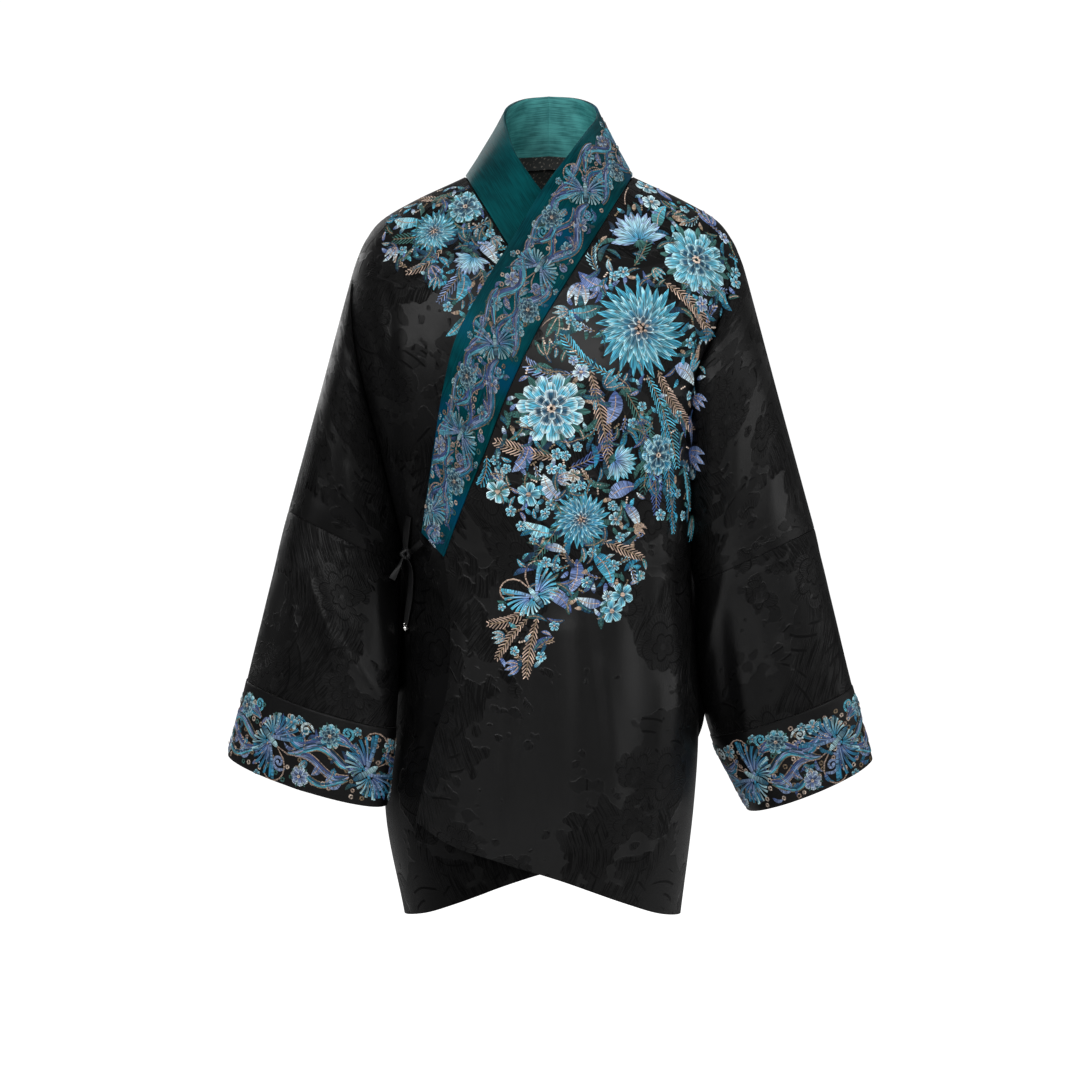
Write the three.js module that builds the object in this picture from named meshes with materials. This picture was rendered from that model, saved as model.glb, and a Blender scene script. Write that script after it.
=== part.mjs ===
// A cross-collar silk jacket, worn closed to the wearer's right and hollow, as its wearer fills it.
// Fronts and back are cut in one with the upper sleeves; sleeve ends, cuff bands and collar halves are
// sewn on, and one pair of ribbons ties the outer front at the side.
// Millimetres. +X is the wearer's left, -Y the front and +Z up. The origin lies midway between the
// two neck points of the shoulders, which carry the jacket.
import * as THREE from "three";
import { mergeVertices } from "three/addons/utils/BufferGeometryUtils.js";

// ---- Driving sizes ----
const CLOTH_WALL = 2; // silk with its lining
const COLLAR_WALL = 3; // collar band with its stiffening
const CUFF_WALL = 2.6; // embroidered cuff band over the sleeve cloth
const RIBBON_WALL = 1.2;
const SEAM_GAP = 0.3; // between pieces that are sewn together
const FOLD_INSET = 3; // how far inside the outline the fold between body and sleeve starts
const LAP_DEPTH = 6; // how far the under front lies behind the outer one
const COLLAR_LIFT = 0.8; // the collar stands this proud of the front it is sewn to
const NECK_POINT = { x: 88, z: 8 }; // where shoulder seam and collar meet
const NAPE_Z = 31; // neckline at the centre of the back
const ROUNDNESS = 2.3; // exponent of the body's sections; 2 would be an ellipse
const SLEEVE_DEPTH = 56; // half depth of the upper sleeve

// The body by height: x of its two side lines, which are fold lines above the underarm and side seams
// below it, the middle between the laps, and how deep front and back are.
const BODY = [
  { z: 45, right: -60, left: 60, middle: 0, front: 50, back: 66 },
  { z: 8, right: -88, left: 88, middle: 0, front: 59, back: 84 },
  { z: -60, right: -195, left: 198, middle: 0, front: 83, back: 101 },
  { z: -110, right: -205, left: 187, middle: 0, front: 106, back: 110 },
  { z: -157, right: -203, left: 171, middle: 0, front: 118, back: 111 },
  { z: -205, right: -194, left: 151, middle: 0, front: 122, back: 107 },
  { z: -300, right: -171, left: 147, middle: 0, front: 117, back: 99 },
  { z: -395, right: -152, left: 149, middle: 0, front: 113, back: 98 },
  { z: -470, right: -155, left: 152, middle: -3, front: 115, back: 103 },
  { z: -560, right: -162, left: 157, middle: -6, front: 119, back: 112 },
  { z: -650, right: -172, left: 152, middle: -10, front: 121, back: 118 },
  { z: -764, right: -151.5, left: 138, middle: -7, front: 117, back: 120 },
];

// Half width of the whole jacket, sleeves included, down to the sleeve seams.
const OUTLINE = [
  { z: 45, half: 60 },
  { z: NAPE_Z, half: 68 },
  { z: 20, half: 78 },
  { z: 14, half: 83.5 },
  { z: 11, half: 86.2 },
  { z: NECK_POINT.z, half: NECK_POINT.x },
  { z: 3, half: 98 },
  { z: -16, half: 139 },
  { z: -37, half: 175 },
  { z: -58, half: 192 },
  { z: -79, half: 201.5 },
  { z: -100, half: 208 },
  { z: -230, half: 242.8 },
  { z: -450, half: 303 },
];

// Where the fold between body and sleeve begins under the shoulder, and the underarm where it ends.
const ARMS = {
  right: { sign: -1, foldTop: -98, underarm: -384 },
  left: { sign: 1, foldTop: -69, underarm: -402 },
};
const NOTCH = 3; // clear width between body and sleeve below the underarm
const NOTCH_RUN = 16; // height over which the notch opens

// The collar's two edges in rows from the centre back: rows 0 to 3 go round to the neck point, the rest
// down the front. `lay` is 0 where the band stands round the neck and 1 where it lies on the chest, and
// `clear` is the width left for the seam.
const OUTER_COLLAR = [
  { row: 0, seamX: 0, seamZ: 31, edgeX: 0, edgeY: 60, edgeZ: 102, lay: 0, clear: 1 },
  { row: 1, seamX: 42, seamZ: 27, edgeX: 29.6, edgeY: 52, edgeZ: 98.8, lay: 0, clear: 1 },
  { row: 2, seamX: 73, seamZ: 16.5, edgeX: 48.5, edgeY: 28, edgeZ: 88.1, lay: 0, clear: 1.3 },
  { row: 3, seamX: 88, seamZ: 8, edgeX: 52, edgeY: 2, edgeZ: 73.3, lay: 0, clear: 2 },
  { row: 4, seamX: 82.9, seamZ: -3.5, edgeX: 39.5, edgeY: -31, edgeZ: 53.7, lay: 0, clear: 1.3 },
  { row: 5, seamX: 69.4, seamZ: -26, edgeX: 20.4, edgeY: -57, edgeZ: 25.5, lay: 0.1, clear: 1 },
  { row: 6, seamX: 47.5, seamZ: -63.1, edgeX: -8, edgeY: -77, edgeZ: -14.1, lay: 0.5, clear: 1 },
  { row: 7, seamX: 15.1, seamZ: -116, edgeX: -41.1, edgeY: -86, edgeZ: -70.3, lay: 1, clear: 1 },
  { row: 8, seamX: -13.8, seamZ: -166.2, edgeX: -69, edgeY: -95, edgeZ: -117.6, lay: 1, clear: 1 },
  { row: 9, seamX: -41.7, seamZ: -225, edgeX: -94.9, edgeY: -95, edgeZ: -168.4, lay: 1, clear: 1 },
  { row: 10, seamX: -62, seamZ: -277.6, edgeX: -108.4, edgeY: -90, edgeZ: -222.4, lay: 1, clear: 1 },
  { row: 11, seamX: -80.5, seamZ: -321.8, edgeX: -117.4, edgeY: -85, edgeZ: -278.1, lay: 1, clear: 1 },
  { row: 12, seamX: -95.3, seamZ: -358.5, edgeX: -124.5, edgeY: -80, edgeZ: -324.4, lay: 1, clear: 1.1 },
  { row: 13, seamX: -107.3, seamZ: -390.5, edgeX: -131.2, edgeY: -75, edgeZ: -365.2, lay: 1, clear: 1.8 },
];
const NECK_ROW = 3;
const NECKLINE = OUTER_COLLAR.slice(0, NECK_ROW + 1);
const FOLD_ROW = 7; // level with the top of the fold between body and sleeve
const COLLAR_END_ROW = 13;
// The under collar is the outer one turned round, but for its free edge at the front of the neck.
const UNDER_COLLAR_EDGE = {
  1: { edgeX: 27, edgeY: 52, edgeZ: 98 },
  2: { edgeX: 43.5, edgeY: 28, edgeZ: 87 },
  3: { edgeX: 47.5, edgeY: 2, edgeZ: 73 },
  4: { edgeX: 43, edgeY: -28, edgeZ: 51 },
  5: { edgeX: 33, edgeY: -50, edgeZ: 24 },
  6: { edgeX: 8, edgeY: -67, edgeZ: -13 },
  7: { edgeX: -35, edgeY: -78, edgeZ: -70 },
};

// The outer front's free edge below the collar, and its hem from that edge to the side seam.
const FRONT_EDGE = [
  { z: -390.5, x: -107.3 },
  { z: -428, x: -102.5 },
  { z: -493, x: -101 },
  { z: -536, x: -106 },
  { z: -574, x: -117.5 },
  { z: -623, x: -128.7 },
  { z: -661, x: -137 },
];
const HEM_CORNER_Z = -763;
const HEM = [
  { share: 0, drop: 0 },
  { share: 0.13, drop: 0.21 },
  { share: 0.35, drop: 0.4 },
  { share: 0.56, drop: 0.57 },
  { share: 0.8, drop: 0.82 },
  { share: 0.9, drop: 0.925 },
  { share: 1, drop: 1 },
];
const BACK_HEM_RISE = 32; // the back hem is this much higher at its middle

// The sleeve ends: inner and outer fold of the flattened tube, its half depth and how far its front
// dips, from the sleeve seam (0) to the open end (1).
const SLEEVE_ENDS = {
  right: [
    { s: 0, inX: -155.5, inY: 0, inZ: -400, outX: -273.4, outY: 0, outZ: -342, depth: 56, dip: 0 },
    { s: 0.35, inX: -157, inY: -40, inZ: -480, outX: -291.5, outY: 3, outZ: -424, depth: 54, dip: 0.08 },
    { s: 0.7, inX: -160, inY: -62, inZ: -565, outX: -314, outY: 8, outZ: -516.6, depth: 47, dip: 0.15 },
    { s: 1, inX: -169, inY: -66, inZ: -646, outX: -335, outY: 12, outZ: -597, depth: 42, dip: 0.22 },
  ],
  left: [
    { s: 0, inX: 152.5, inY: 0, inZ: -418, outX: 278.4, outY: 0, outZ: -360, depth: 56, dip: 0 },
    { s: 0.35, inX: 157, inY: 24, inZ: -500, outX: 297, outY: -12, outZ: -444.5, depth: 52, dip: 0.08 },
    { s: 0.7, inX: 173, inY: 38, inZ: -576, outX: 314.5, outY: -25, outZ: -526, depth: 46, dip: 0.14 },
    { s: 1, inX: 213, inY: 40, inZ: -654, outX: 334, outY: -32, outZ: -604, depth: 40, dip: 0.2 },
  ],
};
const CUFF_TOP = 0.7; // where along the sleeve end the cuff band begins
const CUFF_LIFT = 0.7;

// The largest soft folds, each a rounded ridge (or trough, with a negative height) along a line in the
// front view.
const FRONT_FOLDS = [
  { x0: -52, z0: -330, x1: -58, z1: -760, width: 17, height: -4.5 },
  { x0: 12, z0: -470, x1: 34, z1: -770, width: 26, height: 4 },
  { x0: -88, z0: -440, x1: -104, z1: -640, width: 12, height: 3 },
  { x0: 96, z0: -420, x1: 84, z1: -700, width: 16, height: -4 },
  { x0: 128, z0: -380, x1: 126, z1: -640, width: 11, height: 4 },
  { x0: 150, z0: -120, x1: 128, z1: -260, width: 14, height: 3.5 },
  { x0: -150, z0: -170, x1: -128, z1: -330, width: 13, height: 4 },
  { x0: -182, z0: -150, x1: -146, z1: -350, width: 9, height: -3 },
];
const BACK_FOLDS = [
  { x0: -60, z0: -150, x1: -82, z1: -740, width: 20, height: -5 },
  { x0: 52, z0: -190, x1: 76, z1: -745, width: 22, height: -5.5 },
  { x0: -4, z0: -330, x1: 4, z1: -760, width: 26, height: 4.5 },
  { x0: 112, z0: -300, x1: 120, z1: -690, width: 15, height: 4 },
  { x0: -118, z0: -330, x1: -130, z1: -650, width: 14, height: 4 },
  { x0: -172, z0: -140, x1: -140, z1: -340, width: 13, height: -3.5 },
  { x0: 168, z0: -130, x1: 138, z1: -330, width: 13, height: -3.5 },
];
const SLEEVE_FOLDS = [
  { x0: -236, z0: -408, x1: -178, z1: -520, width: 8, height: 6 },
  { x0: -200, z0: -455, x1: -169, z1: -530, width: 6, height: 4 },
  { x0: -262, z0: -420, x1: -286, z1: -510, width: 14, height: -3 },
  { x0: 196, z0: -250, x1: 176, z1: -392, width: 9, height: 5 },
  { x0: 172, z0: -210, x1: 163, z1: -360, width: 7, height: 4 },
  { x0: 222, z0: -430, x1: 262, z1: -530, width: 16, height: 4 },
  { x0: 190, z0: -450, x1: 200, z1: -560, width: 11, height: -4 },
];

// The ribbons that tie the outer front: where they leave the cloth, the knot, and the free ends.
const TIE = {
  ribbonWidth: 9,
  standOff: 4, // how far the ribbons lie off the cloth
  anchor: { x: -143, z: -350 },
  knot: { x: -143, z: -384 },
  knotSize: { x: 6.5, y: 5.5, z: 6 },
  longEnd: { x: -145.5, z: -461 },
  shortEnd: { x: -156, z: -409 },
  beadRadius: 3.2,
};

// How finely the cloth is divided.
const ROWS = { shoulder: 8, fold: 12, side: 9, notch: 2 };
const COLUMNS = { front: 15, back: 24, cap: 7 };
const RING_POINTS = 26;
const SLEEVE_RINGS = 9;
const CUFF_RINGS = 4;
const COLLAR_COLUMNS = 4;

// ---- Curves through tables ----
const { lerp, clamp, smoothstep } = THREE.MathUtils;

// The value of a column at `value` of the key column, on a smooth curve through the table's rows.
function along(table, key, column, value) {
  const last = table.length - 1;
  const falling = table[last][key] < table[0][key] ? -1 : 1;
  if ((value - table[0][key]) * falling <= 0) return table[0][column];
  if ((value - table[last][key]) * falling >= 0) return table[last][column];
  let i = 0;
  while ((value - table[i + 1][key]) * falling > 0) i++;
  const slope = (j) => {
    const before = table[Math.max(j - 1, 0)];
    const after = table[Math.min(j + 1, last)];
    return (after[column] - before[column]) / (after[key] - before[key]);
  };
  const [a, b] = [table[i], table[i + 1]];
  const span = b[key] - a[key];
  const t = (value - a[key]) / span;
  const bend = slope(i) * span * t * (1 - t) * (1 - t) - slope(i + 1) * span * t * t * (1 - t);
  return lerp(a[column], b[column], t * t * (3 - 2 * t)) + bend;
}

// Height of the soft folds at a place in the front view.
function foldHeight(folds, x, z) {
  let height = 0;
  for (const fold of folds) {
    const [dx, dz] = [fold.x1 - fold.x0, fold.z1 - fold.z0];
    const t = clamp(((x - fold.x0) * dx + (z - fold.z0) * dz) / (dx * dx + dz * dz), 0, 1);
    const away = Math.hypot(x - fold.x0 - t * dx, z - fold.z0 - t * dz) / fold.width;
    height += fold.height * Math.exp(-away * away);
  }
  return height;
}

// ---- The form of the worn jacket ----
const sideX = (hand, z) => along(BODY, "z", hand, z);
const outlineX = (hand, z) => ARMS[hand].sign * along(OUTLINE, "z", "half", z);

// x where the sleeve begins beside the body: on the fold line, or past the notch under the arm.
function sleeveX(hand, z) {
  const { sign, underarm } = ARMS[hand];
  return sideX(hand, z) + sign * NOTCH * clamp((underarm - z) / NOTCH_RUN, 0, 1);
}

// How far the cloth stands in front of the plane of the seams (or behind it, for the back).
// One wide lobe at the shoulders parts into a body lobe and a sleeve lobe, which the underarm divides.
function depth(x, z, face, inSleeve = false) {
  const middle = along(BODY, "z", "middle", z);
  const hand = x < middle ? "right" : "left";
  const arm = ARMS[hand];
  const full = along(BODY, "z", face, z);
  const from = Math.abs(x - middle);
  const side = Math.abs(sideX(hand, z) - middle);
  const lobe = (reach) => full * Math.sqrt(Math.max(0, 1 - (from / reach) ** ROUNDNESS));
  const wide = lobe(Math.abs(outlineX(hand, z) - middle));
  const drop = clamp((z - arm.underarm) / (arm.foldTop - arm.underarm), 0, 1);
  const joined = Math.sqrt(drop) * (0.55 + 0.45 * drop);
  let parted = lobe(side);
  if (inSleeve || from > side + 1e-6) {
    const inner = Math.abs(sleeveX(hand, z) - middle);
    const outer = Math.abs(outlineX(hand, z) - middle);
    const t = clamp((from - inner) / Math.max(outer - inner, 1), 0, 1);
    parted = SLEEVE_DEPTH * Math.sqrt(4 * t * (1 - t));
  }
  const bare = joined * wide + (1 - joined) * parted;
  const folds = face === "front" ? [...FRONT_FOLDS, ...SLEEVE_FOLDS] : BACK_FOLDS;
  return bare + foldHeight(folds, x, z) * Math.min(1, bare / 25);
}

const SEAM_HALF = SEAM_GAP / 2;
const LAYERS = {
  outer: (x, z, inSleeve) => -Math.max(SEAM_HALF, depth(x, z, "front", inSleeve)),
  under: (x, z, inSleeve) => {
    const front = depth(x, z, "front", inSleeve);
    return -Math.max(SEAM_HALF, front - LAP_DEPTH * Math.min(1, front / 60));
  },
  back: (x, z, inSleeve) => Math.max(SEAM_HALF, depth(x, z, "back", inSleeve)),
};
const onCloth = (layer, x, z, inSleeve = false) =>
  new THREE.Vector3(x, LAYERS[layer](x, z, inSleeve), z);

// ---- Cloth walls ----

// A closed wall from grids of outer points. Grids that share points are one piece of cloth.
// `turn` swaps which way the faces point.
function clothWall(grids, wall, turn = false) {
  const corners = [];
  for (const grid of grids)
    for (let i = 0; i + 1 < grid.length; i++)
      for (let j = 0; j + 1 < grid[i].length; j++) {
        const [a, b, c, d] = [grid[i][j], grid[i][j + 1], grid[i + 1][j + 1], grid[i + 1][j]];
        corners.push(...(turn ? [a, c, b, a, d, c] : [a, b, c, a, c, d]));
      }
  let skin = mergeVertices(new THREE.BufferGeometry().setFromPoints(corners), 1e-3);
  const faces = [];
  for (let i = 0; i < skin.index.count; i += 3) {
    const [a, b, c] = [0, 1, 2].map((k) => skin.index.getX(i + k));
    if (a !== b && b !== c && a !== c) faces.push([a, b, c]);
  }
  skin.setIndex(faces.flat());
  skin.computeVertexNormals();
  const [place, normal] = [skin.attributes.position, skin.attributes.normal];
  const count = place.count;
  const points = [];
  for (let i = 0; i < count; i++) points.push(new THREE.Vector3().fromBufferAttribute(place, i));
  for (let i = 0; i < count; i++) {
    const out = new THREE.Vector3().fromBufferAttribute(normal, i);
    // At a seam that lies in a plane the wall's edge lies in that plane too.
    if (Math.abs(Math.abs(points[i].y) - SEAM_HALF) < 1e-3) out.setY(0).normalize();
    if (Math.abs(Math.abs(points[i].x) - SEAM_HALF) < 1e-3) out.setX(0).normalize();
    points.push(points[i].clone().addScaledVector(out, -wall));
  }
  const edges = new Map();
  for (const [a, b, c] of faces)
    for (const [from, to] of [[a, b], [b, c], [c, a]]) edges.set(from + "_" + to, [from, to]);
  const all = [...faces, ...faces.map(([a, b, c]) => [a + count, c + count, b + count])];
  for (const [from, to] of edges.values())
    if (!edges.has(to + "_" + from))
      all.push([to, from, from + count], [to, from + count, to + count]);
  return new THREE.BufferGeometry().setFromPoints(points).setIndex(all.flat());
}

// ---- Outlines of the panels in the front view ----
const MIRROR = { left: "right", right: "left" };

// Point of the collar seam at a row of the outer collar, for the front on either hand.
function collarSeam(hand, row) {
  const x = along(OUTER_COLLAR, "row", "seamX", row);
  const z = along(OUTER_COLLAR, "row", "seamZ", row);
  return { x: hand === "left" ? x : -x, z };
}

// Free edge of a front below its collar.
function frontEdge(hand, z) {
  const x = along(FRONT_EDGE, "z", "x", z);
  const middle = along(BODY, "z", "middle", z);
  return { x: hand === "left" ? x : 2 * middle - x, z };
}

const share = (step, steps) => step / steps;

// Heights of the rows along a panel's side: shoulder, fold between body and sleeve, side seam.
function sideRows(hand) {
  const { foldTop, underarm } = ARMS[hand];
  const rows = [];
  for (let i = 0; i < ROWS.shoulder; i++) {
    const z = lerp(NECK_POINT.z, foldTop, share(i, ROWS.shoulder));
    rows.push({ x: outlineX(hand, z), z });
  }
  for (let i = 0; i < ROWS.fold; i++) {
    const z = lerp(foldTop, underarm, 1 - (1 - share(i, ROWS.fold)) ** 1.4);
    const inset = FOLD_INSET * clamp((foldTop - z) / NOTCH_RUN, 0, 1);
    const reach = Math.min(Math.abs(sideX(hand, z)), Math.abs(outlineX(hand, z)) - inset);
    rows.push({ x: i === 0 ? outlineX(hand, z) : ARMS[hand].sign * reach, z });
  }
  for (let i = 0; i <= ROWS.side; i++) {
    const z = lerp(underarm, HEM_CORNER_Z, share(i, ROWS.side));
    rows.push({ x: sideX(hand, z), z });
  }
  return rows;
}

// A front's free side, row for row with its other side: down the collar seam and the front edge.
function frontRows(hand) {
  const [top, hemZ] = [FRONT_EDGE[0].z, FRONT_EDGE.at(-1).z];
  const rows = [];
  for (let i = 0; i < ROWS.shoulder; i++)
    rows.push(collarSeam(hand, lerp(NECK_ROW, FOLD_ROW, share(i, ROWS.shoulder))));
  for (let i = 0; i < ROWS.fold; i++)
    rows.push(collarSeam(hand, lerp(FOLD_ROW, COLLAR_END_ROW, share(i, ROWS.fold))));
  for (let i = 0; i <= ROWS.side; i++)
    rows.push(frontEdge(hand, lerp(top, hemZ, share(i, ROWS.side))));
  return rows;
}

// How far below the straight line between its ends a front's hem lies, at a share of its width.
function hemSag(at) {
  return along(HEM, "share", "drop", at) - at;
}

// The body part of a front: rows from its free edge to shoulder, fold line and side seam.
function frontGrid(hand, layer) {
  const [from, to] = [frontRows(hand), sideRows(hand)];
  return from.map((start, i) => {
    const end = to[i];
    const hem = clamp((i - ROWS.shoulder - ROWS.fold) / ROWS.side, 0, 1) ** 2;
    const middle = along(BODY, "z", "middle", end.z);
    const first = clamp((start.x - middle) / (end.x - middle), -1, 0.9);
    const turn = Math.asin(first);
    const row = [];
    for (let j = 0; j <= COLUMNS.front; j++) {
      const at = (Math.sin(lerp(turn, Math.PI / 2, share(j, COLUMNS.front))) - first) / (1 - first);
      const sag = hem * hemSag(at) * (end.z - start.z);
      row.push(onCloth(layer, lerp(start.x, end.x, at), lerp(start.z, end.z, at) + sag));
    }
    return row;
  });
}

// The upper sleeve part of a panel: rows from the fold line out to the seam along the arm.
function capGrid(hand, layer) {
  const folds = sideRows(hand).slice(ROWS.shoulder, ROWS.shoulder + ROWS.fold + 1);
  const { underarm, foldTop } = ARMS[hand];
  const seam = SLEEVE_ENDS[hand][0];
  for (let i = 1; i <= ROWS.notch; i++) {
    const z = lerp(underarm, seam.inZ, share(i, ROWS.notch));
    folds.push({ x: lerp(folds[ROWS.fold].x, seam.inX, share(i, ROWS.notch)), z });
  }
  const last = folds.length - 1;
  return folds.map((start, i) => {
    const outZ = lerp(foldTop, seam.outZ, share(i, last));
    const row = [];
    for (let j = 0; j <= COLUMNS.cap; j++) {
      const at = (1 - Math.cos(share(j, COLUMNS.cap) * Math.PI)) / 2;
      const [x, z] = [lerp(start.x, outlineX(hand, outZ), at), lerp(start.z, outZ, at)];
      const onFold = j === 0 && i <= ROWS.fold;
      if (j === 0 && i > ROWS.fold) row.push(new THREE.Vector3(x, layer === "back" ? SEAM_HALF : -SEAM_HALF, z));
      else row.push(onCloth(layer, x, z, !onFold));
    }
    return row;
  });
}

// The body part of the back: rows from one side to the other, the first along the neckline.
function backGrid() {
  const [from, to] = [sideRows("right"), sideRows("left")];
  const last = from.length - 1;
  return from.map((start, i) => {
    const end = to[i];
    const neck = (1 - clamp(i / ROWS.shoulder, 0, 1)) ** 1.5;
    const hem = BACK_HEM_RISE * clamp((i - last + ROWS.side) / ROWS.side, 0, 1) ** 2;
    const row = [];
    for (let j = 0; j <= COLUMNS.back; j++) {
      const from = 2 * share(j, COLUMNS.back) - 1;
      const seam = collarSeam(from < 0 ? "right" : "left", Math.abs(from) * NECK_ROW);
      const at = (1 + lerp(Math.sin((from * Math.PI) / 2), seam.x / NECK_POINT.x, neck)) / 2;
      const x = lerp(start.x, end.x, at);
      const neckZ = i === 0 ? seam.z : along(NECKLINE, "seamX", "seamZ", Math.abs(x));
      const rise = neck * (neckZ - NECK_POINT.z) + hem * Math.cos((from * Math.PI) / 2) ** 1.4;
      row.push(onCloth("back", x, lerp(start.z, end.z, at) + rise));
    }
    return row;
  });
}

// ---- Sleeve ends and cuffs ----

// A point of the flattened sleeve tube; angle 0 is its inner fold, and the front is the first half.
function sleevePoint(hand, s, angle, lift = 0) {
  const at = (column) => along(SLEEVE_ENDS[hand], "s", column, s);
  const inner = new THREE.Vector3(at("inX"), at("inY"), at("inZ"));
  const outer = new THREE.Vector3(at("outX"), at("outY"), at("outZ"));
  const across = (1 - Math.cos(angle)) / 2;
  const point = inner.clone().lerp(outer, across);
  const front = Math.sin(angle) >= 0;
  let seamDepth = depth(point.x, point.z, front ? "front" : "back", true);
  // The right upper sleeve belongs to the under front and lies as far back as it does.
  if (front && hand === "right") seamDepth -= LAP_DEPTH * Math.min(1, seamDepth / 60);
  const tubeDepth =
    at("depth") * Math.abs(Math.sin(angle)) + (front ? foldHeight(SLEEVE_FOLDS, point.x, point.z) : 0);
  const onEdge = Math.abs(Math.sin(angle)) < 1e-6 ? 0 : 1;
  const out = onEdge * lerp(seamDepth, tubeDepth, smoothstep(s, 0, 0.3)) * (front ? 1 : -1);
  const width = outer.clone().sub(inner).normalize();
  const ahead = new THREE.Vector3(0, -ARMS[hand].sign, 0).cross(width).cross(width).normalize();
  ahead.multiplyScalar(ahead.y < 0 ? 1 : -1);
  point.addScaledVector(ahead, out + Math.sign(out) * lift);
  point.addScaledVector(width, -Math.cos(angle) * lift);
  point.z -= at("dip") * out;
  return point;
}

// A tube of rings between two places along a sleeve end.
function sleeveGrid(hand, from, to, rings, lift = 0) {
  const grid = [];
  for (let i = 0; i <= rings; i++) {
    const ring = [];
    for (let j = 0; j <= RING_POINTS; j++) {
      const angle = (share(j % RING_POINTS, RING_POINTS) * 2) * Math.PI;
      const point = sleevePoint(hand, lerp(from, to, share(i, rings)), angle, lift);
      if (from === 0 && i === 0) point.z -= SEAM_GAP * 2;
      ring.push(point);
    }
    grid.push(ring);
  }
  return grid;
}

// ---- Collar ----

// The rows of the collar half on one hand, with the under collar's own free edge.
function collarRows(hand) {
  if (hand === "left") return OUTER_COLLAR;
  return OUTER_COLLAR.map((row) => {
    const own = { ...row, ...(UNDER_COLLAR_EDGE[row.row] ?? {}) };
    return { ...own, seamX: -own.seamX, edgeX: -own.edgeX };
  });
}

function collarGrid(hand) {
  const table = collarRows(hand);
  const layer = hand === "left" ? "outer" : "under";
  const bandWidth = 65;
  // Its rows end where those of the panels do that it is sewn to.
  const rows = [];
  for (const [from, to, steps] of [
    [0, NECK_ROW, COLUMNS.back / 2],
    [NECK_ROW, FOLD_ROW, ROWS.shoulder],
    [FOLD_ROW, COLLAR_END_ROW, ROWS.fold],
  ])
    for (let i = 0; i < steps; i++) rows.push(lerp(from, to, share(i, steps)));
  rows.push(COLLAR_END_ROW);
  const grid = [];
  for (const row of rows) {
    const at = (column) => along(table, "row", column, row);
    const [seamX, seamZ, edgeX, edgeZ] = ["seamX", "seamZ", "edgeX", "edgeZ"].map(at);
    const onBack = row < NECK_ROW;
    const seamY = LAYERS[onBack ? "back" : layer](seamX, seamZ);
    const lay = clamp(at("lay"), 0, 1);
    const line = [];
    for (let j = 0; j <= COLLAR_COLUMNS; j++) {
      const across = lerp(at("clear") / bandWidth, 1, share(j, COLLAR_COLUMNS));
      const [x, z] = [lerp(seamX, edgeX, across), lerp(seamZ, edgeZ, across)];
      const standing = lerp(seamY, at("edgeY"), across);
      const lying = lay > 0 ? LAYERS[layer](x, z) - COLLAR_LIFT : 0;
      const centre = row === 0 ? SEAM_HALF * ARMS[hand].sign : 0;
      line.push(new THREE.Vector3(x + centre, lerp(standing, lying, lay), z));
    }
    grid.push(line);
  }
  return grid;
}

// ---- Ribbons ----

// The way out of a layer of cloth at a place in the front view.
function wayOut(layer, x, z) {
  const slope = (dx, dz) => LAYERS[layer](x + dx, z + dz) - LAYERS[layer](x - dx, z - dz);
  return new THREE.Vector3(slope(1, 0) / 2, -1, slope(0, 1) / 2).normalize();
}

const offCloth = (x, z, off, layer = "under") =>
  onCloth(layer, x, z).addScaledVector(wayOut(layer, x, z), off);

// A flat ribbon along points, its face turned the way `facing` points.
function ribbonGrid(stops, steps, width, facing) {
  const path = new THREE.CatmullRomCurve3(stops);
  const grid = [];
  for (let i = 0; i <= steps; i++) {
    const point = path.getPoint(share(i, steps));
    const aside = path.getTangent(share(i, steps)).cross(facing).normalize();
    grid.push([-0.5, 0.5].map((k) => point.clone().addScaledVector(aside, k * width)));
  }
  return grid;
}

// ---- Materials and assembly ----
const cloth = (colour, roughness) =>
  new THREE.MeshStandardMaterial({ color: colour, roughness, metalness: 0 });
const BLACK_SILK = cloth(0x17171a, 0.5);
const CUFF_SILK = cloth(0x1b2430, 0.6);
const TEAL_SILK = cloth(0x0f5a55, 0.5);
const RIBBON_SILK = cloth(0x141417, 0.4);
const SILVER = new THREE.MeshStandardMaterial({ color: 0xc9c9c4, roughness: 0.25, metalness: 1 });

const jacket = new THREE.Group();
jacket.name = "jacket";

function add(name, geometry, material) {
  const mesh = new THREE.Mesh(geometry, material);
  mesh.name = name;
  jacket.add(mesh);
  return mesh;
}

function addFronts() {
  for (const [hand, layer] of [["left", "outer"], ["right", "under"]]) {
    const grids = [frontGrid(hand, layer), capGrid(hand, layer)];
    add(hand + "_front", clothWall(grids, CLOTH_WALL, hand === "left"), BLACK_SILK);
  }
}

function addBack() {
  const caps = ["right", "left"].map((hand) => capGrid(hand, "back"));
  const rightCap = caps[0].map((row) => [...row].reverse());
  add("back", clothWall([backGrid(), rightCap, caps[1]], CLOTH_WALL), BLACK_SILK);
}

function addSleeves() {
  const cuffGap = 0.0026; // share of the sleeve end's length
  for (const hand of ["left", "right"]) {
    const sleeve = sleeveGrid(hand, 0, CUFF_TOP, SLEEVE_RINGS);
    add(hand + "_sleeve", clothWall([sleeve], CLOTH_WALL, hand === "right"), BLACK_SILK);
    const cuff = sleeveGrid(hand, CUFF_TOP + cuffGap, 1, CUFF_RINGS, CUFF_LIFT);
    add(hand + "_cuff", clothWall([cuff], CUFF_WALL, hand === "right"), CUFF_SILK);
  }
}

function addCollar() {
  for (const hand of ["left", "right"])
    add(hand + "_collar", clothWall([collarGrid(hand)], COLLAR_WALL, hand === "right"), TEAL_SILK);
}

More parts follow.
